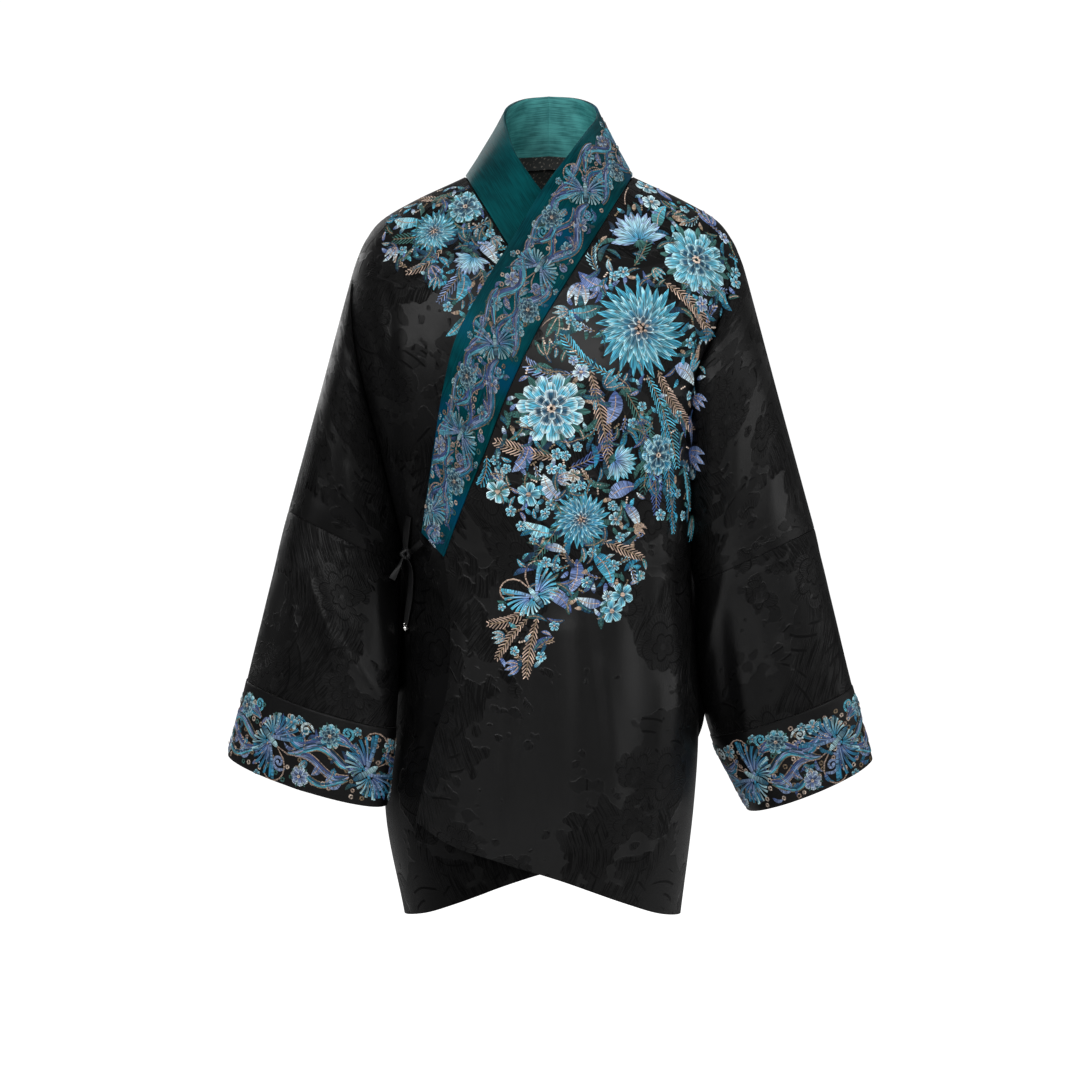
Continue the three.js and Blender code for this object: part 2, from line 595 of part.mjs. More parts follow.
function addTie() {
  const { anchor, knot, knotSize, longEnd, shortEnd, ribbonWidth, standOff, beadRadius } = TIE;
  const facing = wayOut("under", knot.x, knot.z);
  const centre = offCloth(knot.x, knot.z, standOff + knotSize.y - 2);
  const beyond = (x, y, z) => centre.clone().add(new THREE.Vector3(x, y, z));
  const ribbon = (name, stops, steps, width) =>
    add(name, clothWall([ribbonGrid(stops, steps, width, facing)], RIBBON_WALL, true), RIBBON_SILK);
  const above = beyond(0, 0, knotSize.z + 3 * SEAM_GAP);
  ribbon("tie_ribbon_front", [offCloth(anchor.x, anchor.z, 2), above], 4, ribbonWidth);
  const last = OUTER_COLLAR.at(-1);
  const corner = offCloth(last.edgeX + 3, last.edgeZ - 9, 3.5, "outer");
  ribbon("tie_ribbon_collar", [corner, beyond(knotSize.x + 1.2, -2.4, 1.6)], 3, 0.7 * ribbonWidth);
  const hanging = [beyond(0, 0, -knotSize.z - SEAM_GAP), offCloth(-141, -425, standOff)];
  const tip = offCloth(longEnd.x, longEnd.z, standOff);
  ribbon("tie_end_long", [...hanging, tip], 7, 0.8 * ribbonWidth);
  const shortTip = beyond(shortEnd.x - knot.x, 0, shortEnd.z - knot.z);
  const beside = beyond(-knotSize.x + 1, 0, -4.6);
  ribbon("tie_end_short", [beside, shortTip], 4, 0.6 * ribbonWidth);
  const ball = mergeVertices(bare(new THREE.SphereGeometry(1, 12, 8)), 1e-3);
  const knotMesh = add("tie_knot", ball, RIBBON_SILK);
  knotMesh.position.copy(centre);
  knotMesh.scale.set(knotSize.x, knotSize.y, knotSize.z);
  const round = new THREE.SphereGeometry(beadRadius, 12, 8);
  const bead = add("tie_bead", mergeVertices(bare(round), 1e-3), SILVER);
  bead.position.copy(tip).add(new THREE.Vector3(0, 0, -beadRadius - SEAM_GAP - 0.2));
}

// A shape with its positions alone, so that vertices in one place can merge.
function bare(geometry) {
  return geometry.deleteAttribute("normal").deleteAttribute("uv");
}

addFronts();
addBack();
addSleeves();
addCollar();
addTie();

export default jacket;
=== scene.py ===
# %% [markdown]
# # A crossed-collar silk jacket, worn and hollow
# The jacket is shown as its wearer fills it, with nobody inside: two fronts that cross over, a back, wide
# sleeves with embroidered cuffs, a tall collar band and a ribbon tie. This lesson builds each cut piece as
# a sheet of cloth with a real wall, gives it a damask or satin finish, and then sews the embroidery on it.

# %% Frame, units and modules
import math
import random

import bpy
import numpy as np
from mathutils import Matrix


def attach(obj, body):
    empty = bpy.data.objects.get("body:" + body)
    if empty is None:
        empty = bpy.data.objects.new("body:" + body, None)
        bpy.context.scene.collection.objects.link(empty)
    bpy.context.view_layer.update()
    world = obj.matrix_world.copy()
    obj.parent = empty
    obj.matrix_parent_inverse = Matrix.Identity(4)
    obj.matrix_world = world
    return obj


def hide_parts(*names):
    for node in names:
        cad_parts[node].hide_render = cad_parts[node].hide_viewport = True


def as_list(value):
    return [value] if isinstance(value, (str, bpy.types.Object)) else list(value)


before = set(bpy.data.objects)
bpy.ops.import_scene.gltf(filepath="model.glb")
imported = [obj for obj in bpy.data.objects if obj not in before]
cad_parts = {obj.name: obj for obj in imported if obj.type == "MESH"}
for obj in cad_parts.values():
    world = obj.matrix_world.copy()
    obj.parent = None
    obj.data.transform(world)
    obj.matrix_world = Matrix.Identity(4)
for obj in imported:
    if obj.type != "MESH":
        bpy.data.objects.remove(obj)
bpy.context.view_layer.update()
MM = 0.001
print("solids to dress:", len(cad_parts))

# %% [markdown]
# ## The form that the cloth takes
# A maker reads a worn jacket in sections. At each height the body is a rounded oval, and above the underarm
# it opens into the sleeves. So the form is kept as a few tables by height, with smooth curves through them,
# and every piece of cloth and every stitch asks the same form where it lies. All values are millimetres:
# x to the wearer's left, y to the back and z up.


# %% Smooth curves through tables
def curve(*pairs):
    """A smooth curve through (key, value) pairs, as a function of the key."""
    keys, values = np.array(sorted(pairs), float).T
    rows = np.arange(len(keys))
    after, before = np.minimum(rows + 1, len(keys) - 1), np.maximum(rows - 1, 0)
    slopes = (values[after] - values[before]) / (keys[after] - keys[before])

    def at(key):
        key = np.clip(key, keys[0], keys[-1])
        i = np.clip(np.searchsorted(keys, key, side="right") - 1, 0, len(keys) - 2)
        span = keys[i + 1] - keys[i]
        t = (key - keys[i]) / span
        bend = slopes[i] * t * (1 - t) ** 2 - slopes[i + 1] * t**2 * (1 - t)
        return values[i] + (values[i + 1] - values[i]) * t * t * (3 - 2 * t) + span * bend

    return at


def mix(a, b, t):
    return a + (b - a) * t


BODY = [  # height, right side, left side, middle, depth in front, depth behind
    (45, -60, 60, 0, 50, 66), (8, -88, 88, 0, 59, 84), (-60, -195, 198, 0, 83, 101),
    (-110, -205, 187, 0, 106, 110), (-157, -203, 171, 0, 118, 111), (-205, -194, 151, 0, 122, 107),
    (-300, -171, 147, 0, 117, 99), (-395, -152, 149, 0, 113, 98), (-470, -155, 152, -3, 115, 103),
    (-560, -162, 157, -6, 119, 112), (-650, -172, 152, -10, 121, 118), (-764, -151.5, 138, -7, 117, 120),
]


def column(k):
    return curve(*[(row[0], row[k]) for row in BODY])


SIDE = {"right": column(1), "left": column(2)}
MIDDLE = column(3)
FULL = {"front": column(4), "back": column(5)}
OUTLINE = curve(
    (45, 60), (31, 68), (20, 78), (14, 83.5), (11, 86.2), (8, 88), (3, 98), (-16, 139), (-37, 175),
    (-58, 192), (-79, 201.5), (-100, 208), (-230, 242.8), (-450, 303),
)
SIGN = {"right": -1, "left": 1}
FOLD_TOP = {"right": -98, "left": -69}  # where the fold between body and sleeve starts
UNDERARM = {"right": -384, "left": -402}
ROUNDNESS = 2.3  # of the body's section: 2 is an ellipse, more is squarer
SLEEVE_DEPTH = 56  # half the depth of an upper sleeve
NOTCH, NOTCH_RUN = 3, 16  # how far the sleeve's fold parts from the body, and over what height
FOLD_INSET = 3  # how far inside the outline that fold starts
NECK_X, NECK_Z, HEM_Z = 88, 8, -763
print("heights in the body table:", len(BODY))

# %% [markdown]
# ## Folds
# Silk hangs in long soft folds from the points that carry it: the shoulders, the bust and the tie. Each fold
# is a rounded ridge, or a trough where its height is negative, along a line that fades at both ends. They are
# placed one by one and are uneven, because even folds look pressed.

# %% Fold lines: x and z of both ends, half width, height
FRONT_FOLDS = [
    (-52, -330, -58, -760, 17, -4.5), (12, -470, 34, -770, 26, 4), (-88, -440, -104, -640, 12, 3),
    (96, -420, 84, -700, 16, -4), (128, -380, 126, -640, 11, 5.5), (150, -120, 128, -260, 14, 3.5),
    (-150, -170, -128, -330, 13, 4), (-182, -150, -146, -350, 9, -3),
]
SLEEVE_FOLDS = [
    (-236, -408, -178, -520, 8, 6), (-200, -455, -169, -530, 6, 4), (-262, -420, -286, -510, 14, -3),
    (196, -250, 176, -392, 9, 5), (172, -210, 163, -360, 7, 4), (222, -430, 262, -530, 16, 4),
    (190, -450, 200, -560, 11, -4),
]
BACK_FOLDS = [
    (-60, -150, -82, -740, 20, -5), (52, -190, 76, -745, 22, -5.5), (-4, -330, 4, -760, 26, 4.5),
    (112, -300, 120, -690, 15, 4), (-118, -330, -130, -650, 14, 4), (-172, -140, -140, -340, 13, -3.5),
    (168, -130, 138, -330, 13, -3.5),
]
FINE_FRONT_FOLDS = [
    (-30, -420, -38, -700, 7, 1.6), (-70, -470, -72, -650, 6, -1.3), (58, -500, 70, -735, 9, 1.5),
    (40, -430, 52, -600, 8, -1.2), (112, -520, 104, -730, 7, 1.8), (136, -430, 138, -560, 5, 1.6),
    (142, -560, 134, -700, 6, -1.6), (118, -330, 108, -470, 7, 1.6), (-140, -362, -118, -352, 3, 1.4),
    (-138, -376, -112, -392, 3.5, 1.8), (-136, -392, -112, -425, 3.5, 1.5),
    (-146, -360, -150, -310, 3, 1.3), (-136, -340, -128, -300, 3, -1.2), (-125, -520, -150, -640, 6, 1.8),
    (-112, -545, -158, -628, 2.6, 1.6), (-120, -556, -160, -642, 2.4, -1.2), (-90, -690, -60, -745, 7, 1.5),
    (-120, -170, -96, -300, 8, 1.4), (-170, -110, -160, -220, 7, -1.8), (168, -100, 156, -200, 6, -1.6),
    (120, -250, 112, -340, 7, -1.3), (-106, -60, -140, -120, 9, 1.2), (104, -30, 150, -90, 10, 1.2),
    (-20, -600, -10, -735, 8, -1.5),
]
FINE_SLEEVE_FOLDS = [
    (-228, -418, -182, -545, 3.2, 2.2), (-205, -300, -190, -380, 7, 1.6), (-236, -220, -232, -330, 8, -1.5),
    (-214, -180, -205, -280, 6, 1.4), (-250, -450, -236, -540, 9, 1.5), (-176, -400, -170, -470, 5, 2.2),
    (-300, -470, -312, -560, 8, 1.4), (-190, -560, -178, -620, 6, -1.2), (214, -220, 208, -340, 8, -1.8),
    (236, -260, 232, -360, 8, 1.4), (180, -400, 176, -480, 5, 2.2), (168, -430, 172, -530, 4, 1.6),
    (250, -470, 286, -560, 8, 1.5), (208, -480, 222, -580, 7, 1.6), (292, -430, 312, -520, 9, -1.2),
    (228, -600, 236, -640, 7, 1), (-240, -590, -246, -640, 8, 1),
]
FINE_BACK_FOLDS = [
    (-30, -200, -34, -420, 9, 1.6), (26, -240, 30, -500, 8, -1.5), (-92, -420, -100, -720, 8, 1.8),
    (92, -380, 98, -560, 7, 1.7), (-140, -420, -138, -600, 6, 1.6), (142, -430, 136, -620, 6, -1.6),
    (0, -560, 14, -750, 9, 1.7), (-50, -600, -54, -740, 8, 1.4), (44, -620, 52, -750, 8, 1.4),
    (-120, -90, -150, -200, 9, 1.5), (118, -90, 146, -190, 9, 1.5), (-206, -200, -190, -370, 8, 2),
    (208, -200, 192, -380, 8, 2), (-236, -240, -240, -330, 8, -1.5), (238, -240, 244, -340, 8, -1.5),
    (-70, -40, -40, -110, 12, -1.2), (74, -44, 44, -120, 12, -1.2),
]


FOLD_BOW, FOLD_BOW_RUN = 3.2, 37  # how far a fold line wanders to its sides, and over what height


def fold_height(folds, x, z):
    height = np.zeros(np.broadcast(x, z).shape)
    for x0, z0, x1, z1, width, rise in folds:
        dx, dz = x1 - x0, z1 - z0
        t = np.clip(((x - x0) * dx + (z - z0) * dz) / (dx * dx + dz * dz), 0, 1)
        bow = FOLD_BOW * np.sin((z - z0) / FOLD_BOW_RUN + x0)
        away = np.hypot(x - x0 - t * dx + bow, z - z0 - t * dz) / (width * (0.75 + 0.5 * t))
        fade = np.sin(math.pi * np.clip(0.12 + 0.76 * t, 0, 1)) ** 0.7
        height = height + rise * fade * np.exp(-(away**2))
    return height


FOLDS = {
    "front": FRONT_FOLDS + SLEEVE_FOLDS + FINE_FRONT_FOLDS + FINE_SLEEVE_FOLDS,
    "back": BACK_FOLDS + FINE_BACK_FOLDS,
}
print("folds in front and behind:", len(FOLDS["front"]), len(FOLDS["back"]))

# %% [markdown]
# ## How deep the cloth stands
# From the front a garment is only an outline. It becomes round through how far the cloth stands out at each
# place: on the body as a rounded oval, and on the upper sleeve as an oval of its own. Between the two the
# cloth dips into the fold of the armhole, deeper the lower it gets. One function answers for every panel, so
# panels that share a seam meet there.

# %% Depth at a place in the front view
FOLDS_FADE = 25  # folds die out where the form is thinner than this


def depth(x, z, face, in_sleeve=False):
    x, z = np.broadcast_arrays(np.asarray(x, float), np.asarray(z, float))
    middle = MIDDLE(z)
    by_hand = lambda values: np.where(x < middle, values["right"], values["left"])
    underarm, sign = by_hand(UNDERARM), by_hand(SIGN)
    drop = np.clip((z - underarm) / (by_hand(FOLD_TOP) - underarm), 0, 1)
    joined = np.sqrt(drop) * (0.55 + 0.45 * drop)
    side_x = by_hand({hand: SIDE[hand](z) for hand in SIDE})
    side, away = np.abs(side_x - middle), np.abs(x - middle)
    outer = np.abs(sign * OUTLINE(z) - middle)
    lobe = lambda reach: FULL[face](z) * np.sqrt(np.maximum(0, 1 - (away / reach) ** ROUNDNESS))
    inner = np.abs(side_x + sign * NOTCH * np.clip((underarm - z) / NOTCH_RUN, 0, 1) - middle)
    t = np.clip((away - inner) / np.maximum(outer - inner, 1), 0, 1)
    sleeve = SLEEVE_DEPTH * np.sqrt(4 * t * (1 - t))
    parted = np.where(in_sleeve | (away > side + 1e-6), sleeve, lobe(side))
    bare = joined * lobe(outer) + (1 - joined) * parted
    return bare + fold_height(FOLDS[face], x, z) * np.minimum(1, bare / FOLDS_FADE)


SEAM_HALF = 0.15  # half the gap between front and back at a seam
LAP_DEPTH = 6  # how far the under front lies behind the outer one
LAP_FADE = 60  # the lap closes where the form is thinner than this


def on_cloth(layer, x, z, in_sleeve=False):
    """Points on a layer of cloth: "outer" and "under" in front, or "back"."""
    out = depth(x, z, "back" if layer == "back" else "front", in_sleeve)
    if layer == "under":
        out = out - LAP_DEPTH * np.minimum(1, out / LAP_FADE)
    y = np.maximum(SEAM_HALF, out) * (1 if layer == "back" else -1)
    return np.stack(np.broadcast_arrays(x, y, z), axis=-1)


print("front depth at the chest:", round(float(depth(0, -205, "front")), 1), "mm")

# %% [markdown]
# ## Collar, front edges and hems
# The collar band is one long strip. Its seam edge follows the neckline and then the front's slanting edge,
# and its free edge stands up round the neck and lies flat lower down. Row 0 is the centre back, row 3 the
# neck point and row 13 the end of the band by the tie.

# %% Tables of the collar, the front edge and the hem
COLLAR_ROWS = [  # row, seam x, seam z, free edge x, y and z, how flat it lies, seam width
    (0, 0, 31, 0, 60, 102, 0, 1), (1, 42, 27, 29.6, 52, 98.8, 0, 1), (2, 73, 16.5, 48.5, 28, 88.1, 0, 1.3),
    (3, 88, 8, 52, 2, 73.3, 0, 2), (4, 82.9, -3.5, 39.5, -31, 53.7, 0, 1.3),
    (5, 69.4, -26, 20.4, -57, 25.5, 0.1, 1), (6, 47.5, -63.1, -8, -77, -14.1, 0.5, 1),
    (7, 15.1, -116, -41.1, -86, -70.3, 1, 1), (8, -13.8, -166.2, -69, -95, -117.6, 1, 1),
    (9, -41.7, -225, -94.9, -95, -168.4, 1, 1), (10, -62, -277.6, -108.4, -90, -222.4, 1, 1),
    (11, -80.5, -321.8, -117.4, -85, -278.1, 1, 1), (12, -95.3, -358.5, -124.5, -80, -324.4, 1, 1.1),
    (13, -107.3, -390.5, -131.2, -75, -365.2, 1, 1.8),
]
UNDER_EDGE = {  # the under band's own free edge where it differs
    1: (27, 52, 98), 2: (43.5, 28, 87), 3: (47.5, 2, 73), 4: (43, -28, 51), 5: (33, -50, 24),
    6: (8, -67, -13), 7: (-35, -78, -70),
}
NECK_ROW, FOLD_ROW, END_ROW = 3, 7, 13


def collar_table(hand):
    rows = []
    for row in COLLAR_ROWS:
        edge = row[3:6] if hand == "left" else UNDER_EDGE.get(row[0], row[3:6])
        sign = SIGN[hand]
        rows.append((row[0], sign * row[1], row[2], sign * edge[0], *edge[1:], *row[6:]))
    return [curve(*[(row[0], row[k]) for row in rows]) for k in range(1, 8)]


COLLAR = {hand: collar_table(hand) for hand in SIGN}
EDGE_TOP, EDGE_LOW = -390.5, -661  # heights of the ends of the outer front's free edge
FRONT_EDGE = curve(
    (EDGE_TOP, -107.3), (-428, -102.5), (-493, -101), (-536, -106), (-574, -117.5), (-623, -128.7),
    (EDGE_LOW, -137),
)
HEM_DROP = curve((0, 0), (0.13, 0.21), (0.35, 0.4), (0.56, 0.57), (0.8, 0.82), (0.9, 0.925), (1, 1))
NECKLINE = curve(*[(row[1], row[2]) for row in COLLAR_ROWS[:4]])
print("collar rows:", len(COLLAR_ROWS))

# %% [markdown]
# ## Laying out a panel
# Each panel is drawn as a grid: its rows run from the free edge or centre out to the side, and its columns
# from the shoulder down to the hem. The sides of the oval need closer columns than its flat front, so the
# columns are spaced as equal angles round the oval. A front is a body grid and an upper sleeve grid, which
# share the fold line between body and arm.

# %% Rows of a panel
ROWS = {"shoulder": 30, "fold": 60, "side": 66, "notch": 6}
COLUMNS = {"front": 64, "back": 110, "cap": 34}


def steps(count):
    """Shares of the way, from 0 up to but without 1."""
    return np.arange(count) / count


def side_rows(hand):
    """x and z of a panel's outer side, from the neck point down to the hem."""
    top, arm = FOLD_TOP[hand], UNDERARM[hand]
    shoulder = mix(NECK_Z, top, steps(ROWS["shoulder"]))
    fold = mix(top, arm, 1 - (1 - steps(ROWS["fold"])) ** 1.4)
    side = mix(arm, HEM_Z, np.linspace(0, 1, ROWS["side"] + 1))
    inset = FOLD_INSET * np.clip((top - fold) / NOTCH_RUN, 0, 1)
    fold_x = SIGN[hand] * np.minimum(np.abs(SIDE[hand](fold)), OUTLINE(fold) - inset)
    x = [SIGN[hand] * OUTLINE(shoulder), fold_x, SIDE[hand](side)]
    x[1][0] = SIGN[hand] * OUTLINE(top)
    return np.concatenate(x), np.concatenate([shoulder, fold, side])


def front_rows(hand):
    """x and z of a front's collar seam and free edge; the under front's edge mirrors the outer one's."""
    rows = np.concatenate([
        mix(NECK_ROW, FOLD_ROW, steps(ROWS["shoulder"])),
        mix(FOLD_ROW, END_ROW, steps(ROWS["fold"])),
    ])
    edge_z = mix(EDGE_TOP, EDGE_LOW, np.linspace(0, 1, ROWS["side"] + 1))
    edge_x = FRONT_EDGE(edge_z)
    if hand == "right":
        edge_x = 2 * MIDDLE(edge_z) - edge_x
    seam_x, seam_z = COLLAR[hand][:2]
    return np.concatenate([seam_x(rows), edge_x]), np.concatenate([seam_z(rows), edge_z])


def front_grid(hand, layer):
    (x0, z0), (x1, z1) = front_rows(hand), side_rows(hand)
    middle = MIDDLE(z1)
    first = np.clip((x0 - middle) / (x1 - middle), -1, 0.9)[:, None]
    turn = mix(np.arcsin(first), math.pi / 2, np.linspace(0, 1, COLUMNS["front"] + 1))
    at = (np.sin(turn) - first) / (1 - first)
    above = ROWS["shoulder"] + ROWS["fold"]
    hem = np.clip((np.arange(len(x0)) - above) / ROWS["side"], 0, 1)[:, None] ** 2
    x0, z0, x1, z1 = (v[:, None] for v in (x0, z0, x1, z1))
    sag = hem * (HEM_DROP(at) - at) * (z1 - z0)
    return on_cloth(layer, mix(x0, x1, at), mix(z0, z1, at) + sag)


print("rows of a panel:", len(front_rows("left")[0]))

# %% [markdown]
# ## Upper sleeves and the back
# An upper sleeve hangs from the fold line and ends on the seam halfway down the arm. Its grid shares the fold
# line's rows with the body and runs across to the outline, with a few rows more for the notch under the arm.
# The back is one grid from side to side. Its top follows the neckline, and its hem rises at the middle.

# %% Upper sleeves and the back
SLEEVE_SEAM = {"right": (-155.5, -400, -342), "left": (152.5, -418, -360)}  # inner x, inner z, outer z


def cap_grid(hand, layer):
    x, z = (v[ROWS["shoulder"] : ROWS["shoulder"] + ROWS["fold"] + 1] for v in side_rows(hand))
    in_x, in_z, out_z = SLEEVE_SEAM[hand]
    notch = np.arange(1, ROWS["notch"] + 1) / ROWS["notch"]
    x = np.concatenate([x, mix(x[-1], in_x, notch)])[:, None]
    z = np.concatenate([z, mix(UNDERARM[hand], in_z, notch)])[:, None]
    down = np.linspace(0, 1, len(x))[:, None]
    far_z = mix(FOLD_TOP[hand], out_z, down)
    at = (1 - np.cos(np.linspace(0, math.pi, COLUMNS["cap"] + 1))) / 2
    px, pz = mix(x, SIGN[hand] * OUTLINE(far_z), at), mix(z, far_z, at)
    points = on_cloth(layer, px, pz, in_sleeve=True)
    shared = slice(0, ROWS["fold"] + 1)
    points[shared, 0] = on_cloth(layer, px[shared, 0], pz[shared, 0])
    points[ROWS["fold"] + 1 :, 0, 1] = SEAM_HALF if layer == "back" else -SEAM_HALF
    return points


BACK_HEM_RISE = 32  # how much higher the hem is at the middle of the back


def back_grid():
    (x0, z0), (x1, z1) = side_rows("right"), side_rows("left")
    count = len(x0)
    order = np.arange(count)
    neck = (1 - np.clip(order / ROWS["shoulder"], 0, 1))[:, None] ** 1.5
    hem = BACK_HEM_RISE * np.clip((order - count + 1 + ROWS["side"]) / ROWS["side"], 0, 1)[:, None] ** 2
    across = np.linspace(-1, 1, COLUMNS["back"] + 1)[None]
    seam_x = np.where(across < 0, *[COLLAR[h][0](np.abs(across) * NECK_ROW) for h in ("right", "left")])
    at = (1 + mix(np.sin(across * math.pi / 2), seam_x / NECK_X, neck)) / 2
    x = mix(x0[:, None], x1[:, None], at)
    rise = neck * (NECKLINE(np.abs(x)) - NECK_Z) + hem * np.cos(across * math.pi / 2) ** 1.4
    return on_cloth("back", x, mix(z0[:, None], z1[:, None], at) + rise)


print("points of the back:", back_grid().shape[:2])

# %% [markdown]
# ## From grid to cloth
# Blender's grid primitive is added with as many cells as the drawn grid, and each of its points is moved to
# its place on the form. The UV map is the cloth itself, laid flat: it counts metres along rows and columns,
# so a woven pattern keeps its size wherever the cloth turns. A Solidify modifier gives the wall.

# %% A grid primitive laid on the form
def select_only(*pieces):
    bpy.ops.object.select_all(action="DESELECT")
    for piece in pieces:
        piece.select_set(True)
    bpy.context.view_layer.objects.active = pieces[0]


def lengths(points, axis):
    """Distance along rows (axis 1) or columns (axis 0), from the first point of each."""
    gaps = np.linalg.norm(np.diff(points, axis=axis), axis=-1)
    start = np.zeros_like(np.take(gaps, [0], axis=axis))
    return np.cumsum(np.concatenate([start, gaps], axis=axis), axis=axis)


def lay_grid(points, u, v):
    rows, cols = points.shape[:2]
    bpy.ops.mesh.primitive_grid_add(x_subdivisions=cols - 1, y_subdivisions=rows - 1, size=1)
    piece = bpy.context.object
    mesh = piece.data
    mesh.vertices.foreach_set("co", (points * MM).astype(np.float32).ravel())
    corner = np.zeros(len(mesh.loops), int)
    mesh.loops.foreach_get("vertex_index", corner)
    flat = np.stack([u.ravel()[corner], v.ravel()[corner]], axis=-1) * MM
    mesh.uv_layers.active.data.foreach_set("uv", flat.astype(np.float32).ravel())
    mesh.uv_layers.active.name = "cloth"
    mesh.update()
    return piece


def finish_cloth(name, grids, wall, flip, materials, bevel=0.0):
    """Joins grids that share an edge, turns them outwards and gives them a wall."""
    select_only(*grids)
    if len(grids) > 1:
        bpy.ops.object.join()
    piece = bpy.context.object
    piece.name = name
    bpy.ops.object.mode_set(mode="EDIT")
    bpy.ops.mesh.select_all(action="SELECT")
    bpy.ops.mesh.remove_doubles(threshold=0.00002)
    if flip:
        bpy.ops.mesh.flip_normals()
    bpy.ops.object.mode_set(mode="OBJECT")
    for material in materials:
        piece.data.materials.append(material)
    wall_modifier = piece.modifiers.new("wall", "SOLIDIFY")
    wall_modifier.thickness = wall * MM
    wall_modifier.offset = -1
    wall_modifier.material_offset = len(materials) - 1
    bpy.ops.object.modifier_apply(modifier="wall")
    if bevel:
        rounding = piece.modifiers.new("rounded_edges", "BEVEL")
        rounding.width = bevel * MM
        rounding.segments = 2
        rounding.angle_limit = math.radians(55)
        bpy.ops.object.modifier_apply(modifier="rounded_edges")
    bpy.ops.object.shade_smooth_by_angle(angle=math.radians(50))
    print(name, len(piece.data.polygons), "faces")
    return piece


def wear(piece, slot, *nodes):
    """Makes a piece move with the jacket, in the place of the nodes it stands for."""
    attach(piece, "root")
    if nodes:
        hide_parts(*nodes)


cut_areas = {}  # square metres of each cloth, for the cell that states the flat sizes


def outer_area(grids):
    """Area in square metres of the grids' cells."""
    total = 0.0
    for points in grids:
        a = points[1:, 1:] - points[:-1, :-1]
        b = points[1:, :-1] - points[:-1, 1:]
        total += np.linalg.norm(np.cross(a, b), axis=-1).sum() / 2
    return float(total) * MM * MM


print("cloth helpers are ready")

# %% [markdown]
# ## Finishes
# All the cloths are silks, and the bead is silver. A silk's look comes from how its threads lie, so each
# finish is worked out by shader nodes from the cloth's own map, with no image. What several silks share is a
# node group that is built once. The helper below adds nodes and links them, so a formula reads as a line.

# %% Node helpers
def new_group(name, inputs, outputs):
    group = bpy.data.node_groups.new(name, "ShaderNodeTree")
    for label, kind, value in inputs:
        socket = group.interface.new_socket(label, in_out="INPUT", socket_type=kind)
        if value is not None:
            socket.default_value = value
    for label, kind in outputs:
        group.interface.new_socket(label, in_out="OUTPUT", socket_type=kind)
    return group, group.nodes.new("NodeGroupInput"), group.nodes.new("NodeGroupOutput")


class Wiring:
    """Adds nodes to a tree and links them, so that a formula reads as one line."""

    def __init__(self, tree):
        self.tree = tree

    def put(self, socket, value):
        if isinstance(value, bpy.types.NodeSocket):
            self.tree.links.new(value, socket)
        elif value is not None:
            socket.default_value = value

    def math(self, operation, *values, clamp=False):
        node = self.tree.nodes.new("ShaderNodeMath")
        node.operation = operation
        node.use_clamp = clamp
        for socket, value in zip(node.inputs, values):
            self.put(socket, value)
        return node.outputs[0]

    def vector(self, operation, *values):
        node = self.tree.nodes.new("ShaderNodeVectorMath")
        node.operation = operation
        for socket, value in zip(node.inputs, values):
            self.put(socket, value)
        return node.outputs["Value" if operation in ("LENGTH", "DISTANCE") else "Vector"]

    def parts(self, vector):
        node = self.tree.nodes.new("ShaderNodeSeparateXYZ")
        self.put(node.inputs[0], vector)
        return node.outputs[0], node.outputs[1]

    def join(self, x, y):
        node = self.tree.nodes.new("ShaderNodeCombineXYZ")
        self.put(node.inputs[0], x)
        self.put(node.inputs[1], y)
        return node.outputs[0]

    def texture(self, kind, output, vector, **settings):
        node = self.tree.nodes.new("ShaderNodeTex" + kind)
        for key, value in settings.items():
            if key in node.inputs:
                self.put(node.inputs[key], value)
            else:
                setattr(node, key, value)
        self.put(node.inputs["Vector"], vector)
        return node.outputs[output]

    def ramp(self, value, low, high):
        """0 below low and 1 above high, smooth between."""
        node = self.tree.nodes.new("ShaderNodeMapRange")
        node.interpolation_type = "SMOOTHSTEP"
        for socket, item in zip(node.inputs, (value, low, high, 0.0, 1.0)):
            self.put(socket, item)
        return node.outputs[0]

    def colours(self, factor, a, b):
        node = self.tree.nodes.new("ShaderNodeMix")
        node.data_type = "RGBA"
        self.put(node.inputs["Factor"], factor)
        self.put(node.inputs["A"], a)
        self.put(node.inputs["B"], b)
        return node.outputs["Result"]

    def bump(self, height, strength, distance):
        node = self.tree.nodes.new("ShaderNodeBump")
        node.inputs["Strength"].default_value = strength
        node.inputs["Distance"].default_value = distance
        self.put(node.inputs["Height"], height)
        return node.outputs[0]

    def group(self, group, output, **values):
        node = self.tree.nodes.new("ShaderNodeGroup")
        node.node_tree = group
        for key, value in values.items():
            self.put(node.inputs[key.replace("_", " ")], value)
        return node.outputs if output is None else node.outputs[output]

    def cloth_map(self):
        node = self.tree.nodes.new("ShaderNodeUVMap")
        node.uv_map = "cloth"
        return node.outputs[0]


print("node helpers are ready")

# %% [markdown]
# ## The damask figures and the twill
# Damask is woven in one colour. Its figures show because their threads lie another way and shine less. They
# could be painted by hand, but a formula gives them at their real size on every panel: flower heads of fine
# rays in the cells of a Voronoi texture, arcs of scrolls round them, drifts of hair-fine leaves, and the
# large leafy zones that hold all three. Between the zones the ground is plain satin.

# %% Flower heads, scrolls, leaves and zones
VECTOR, FLOAT = "NodeSocketVector", "NodeSocketFloat"
BLOOM_SIZE = 0.092  # metres from one flower head to the next
FRONT_MIDDLE = 0.2  # metres from a panel's side to the middle of a front


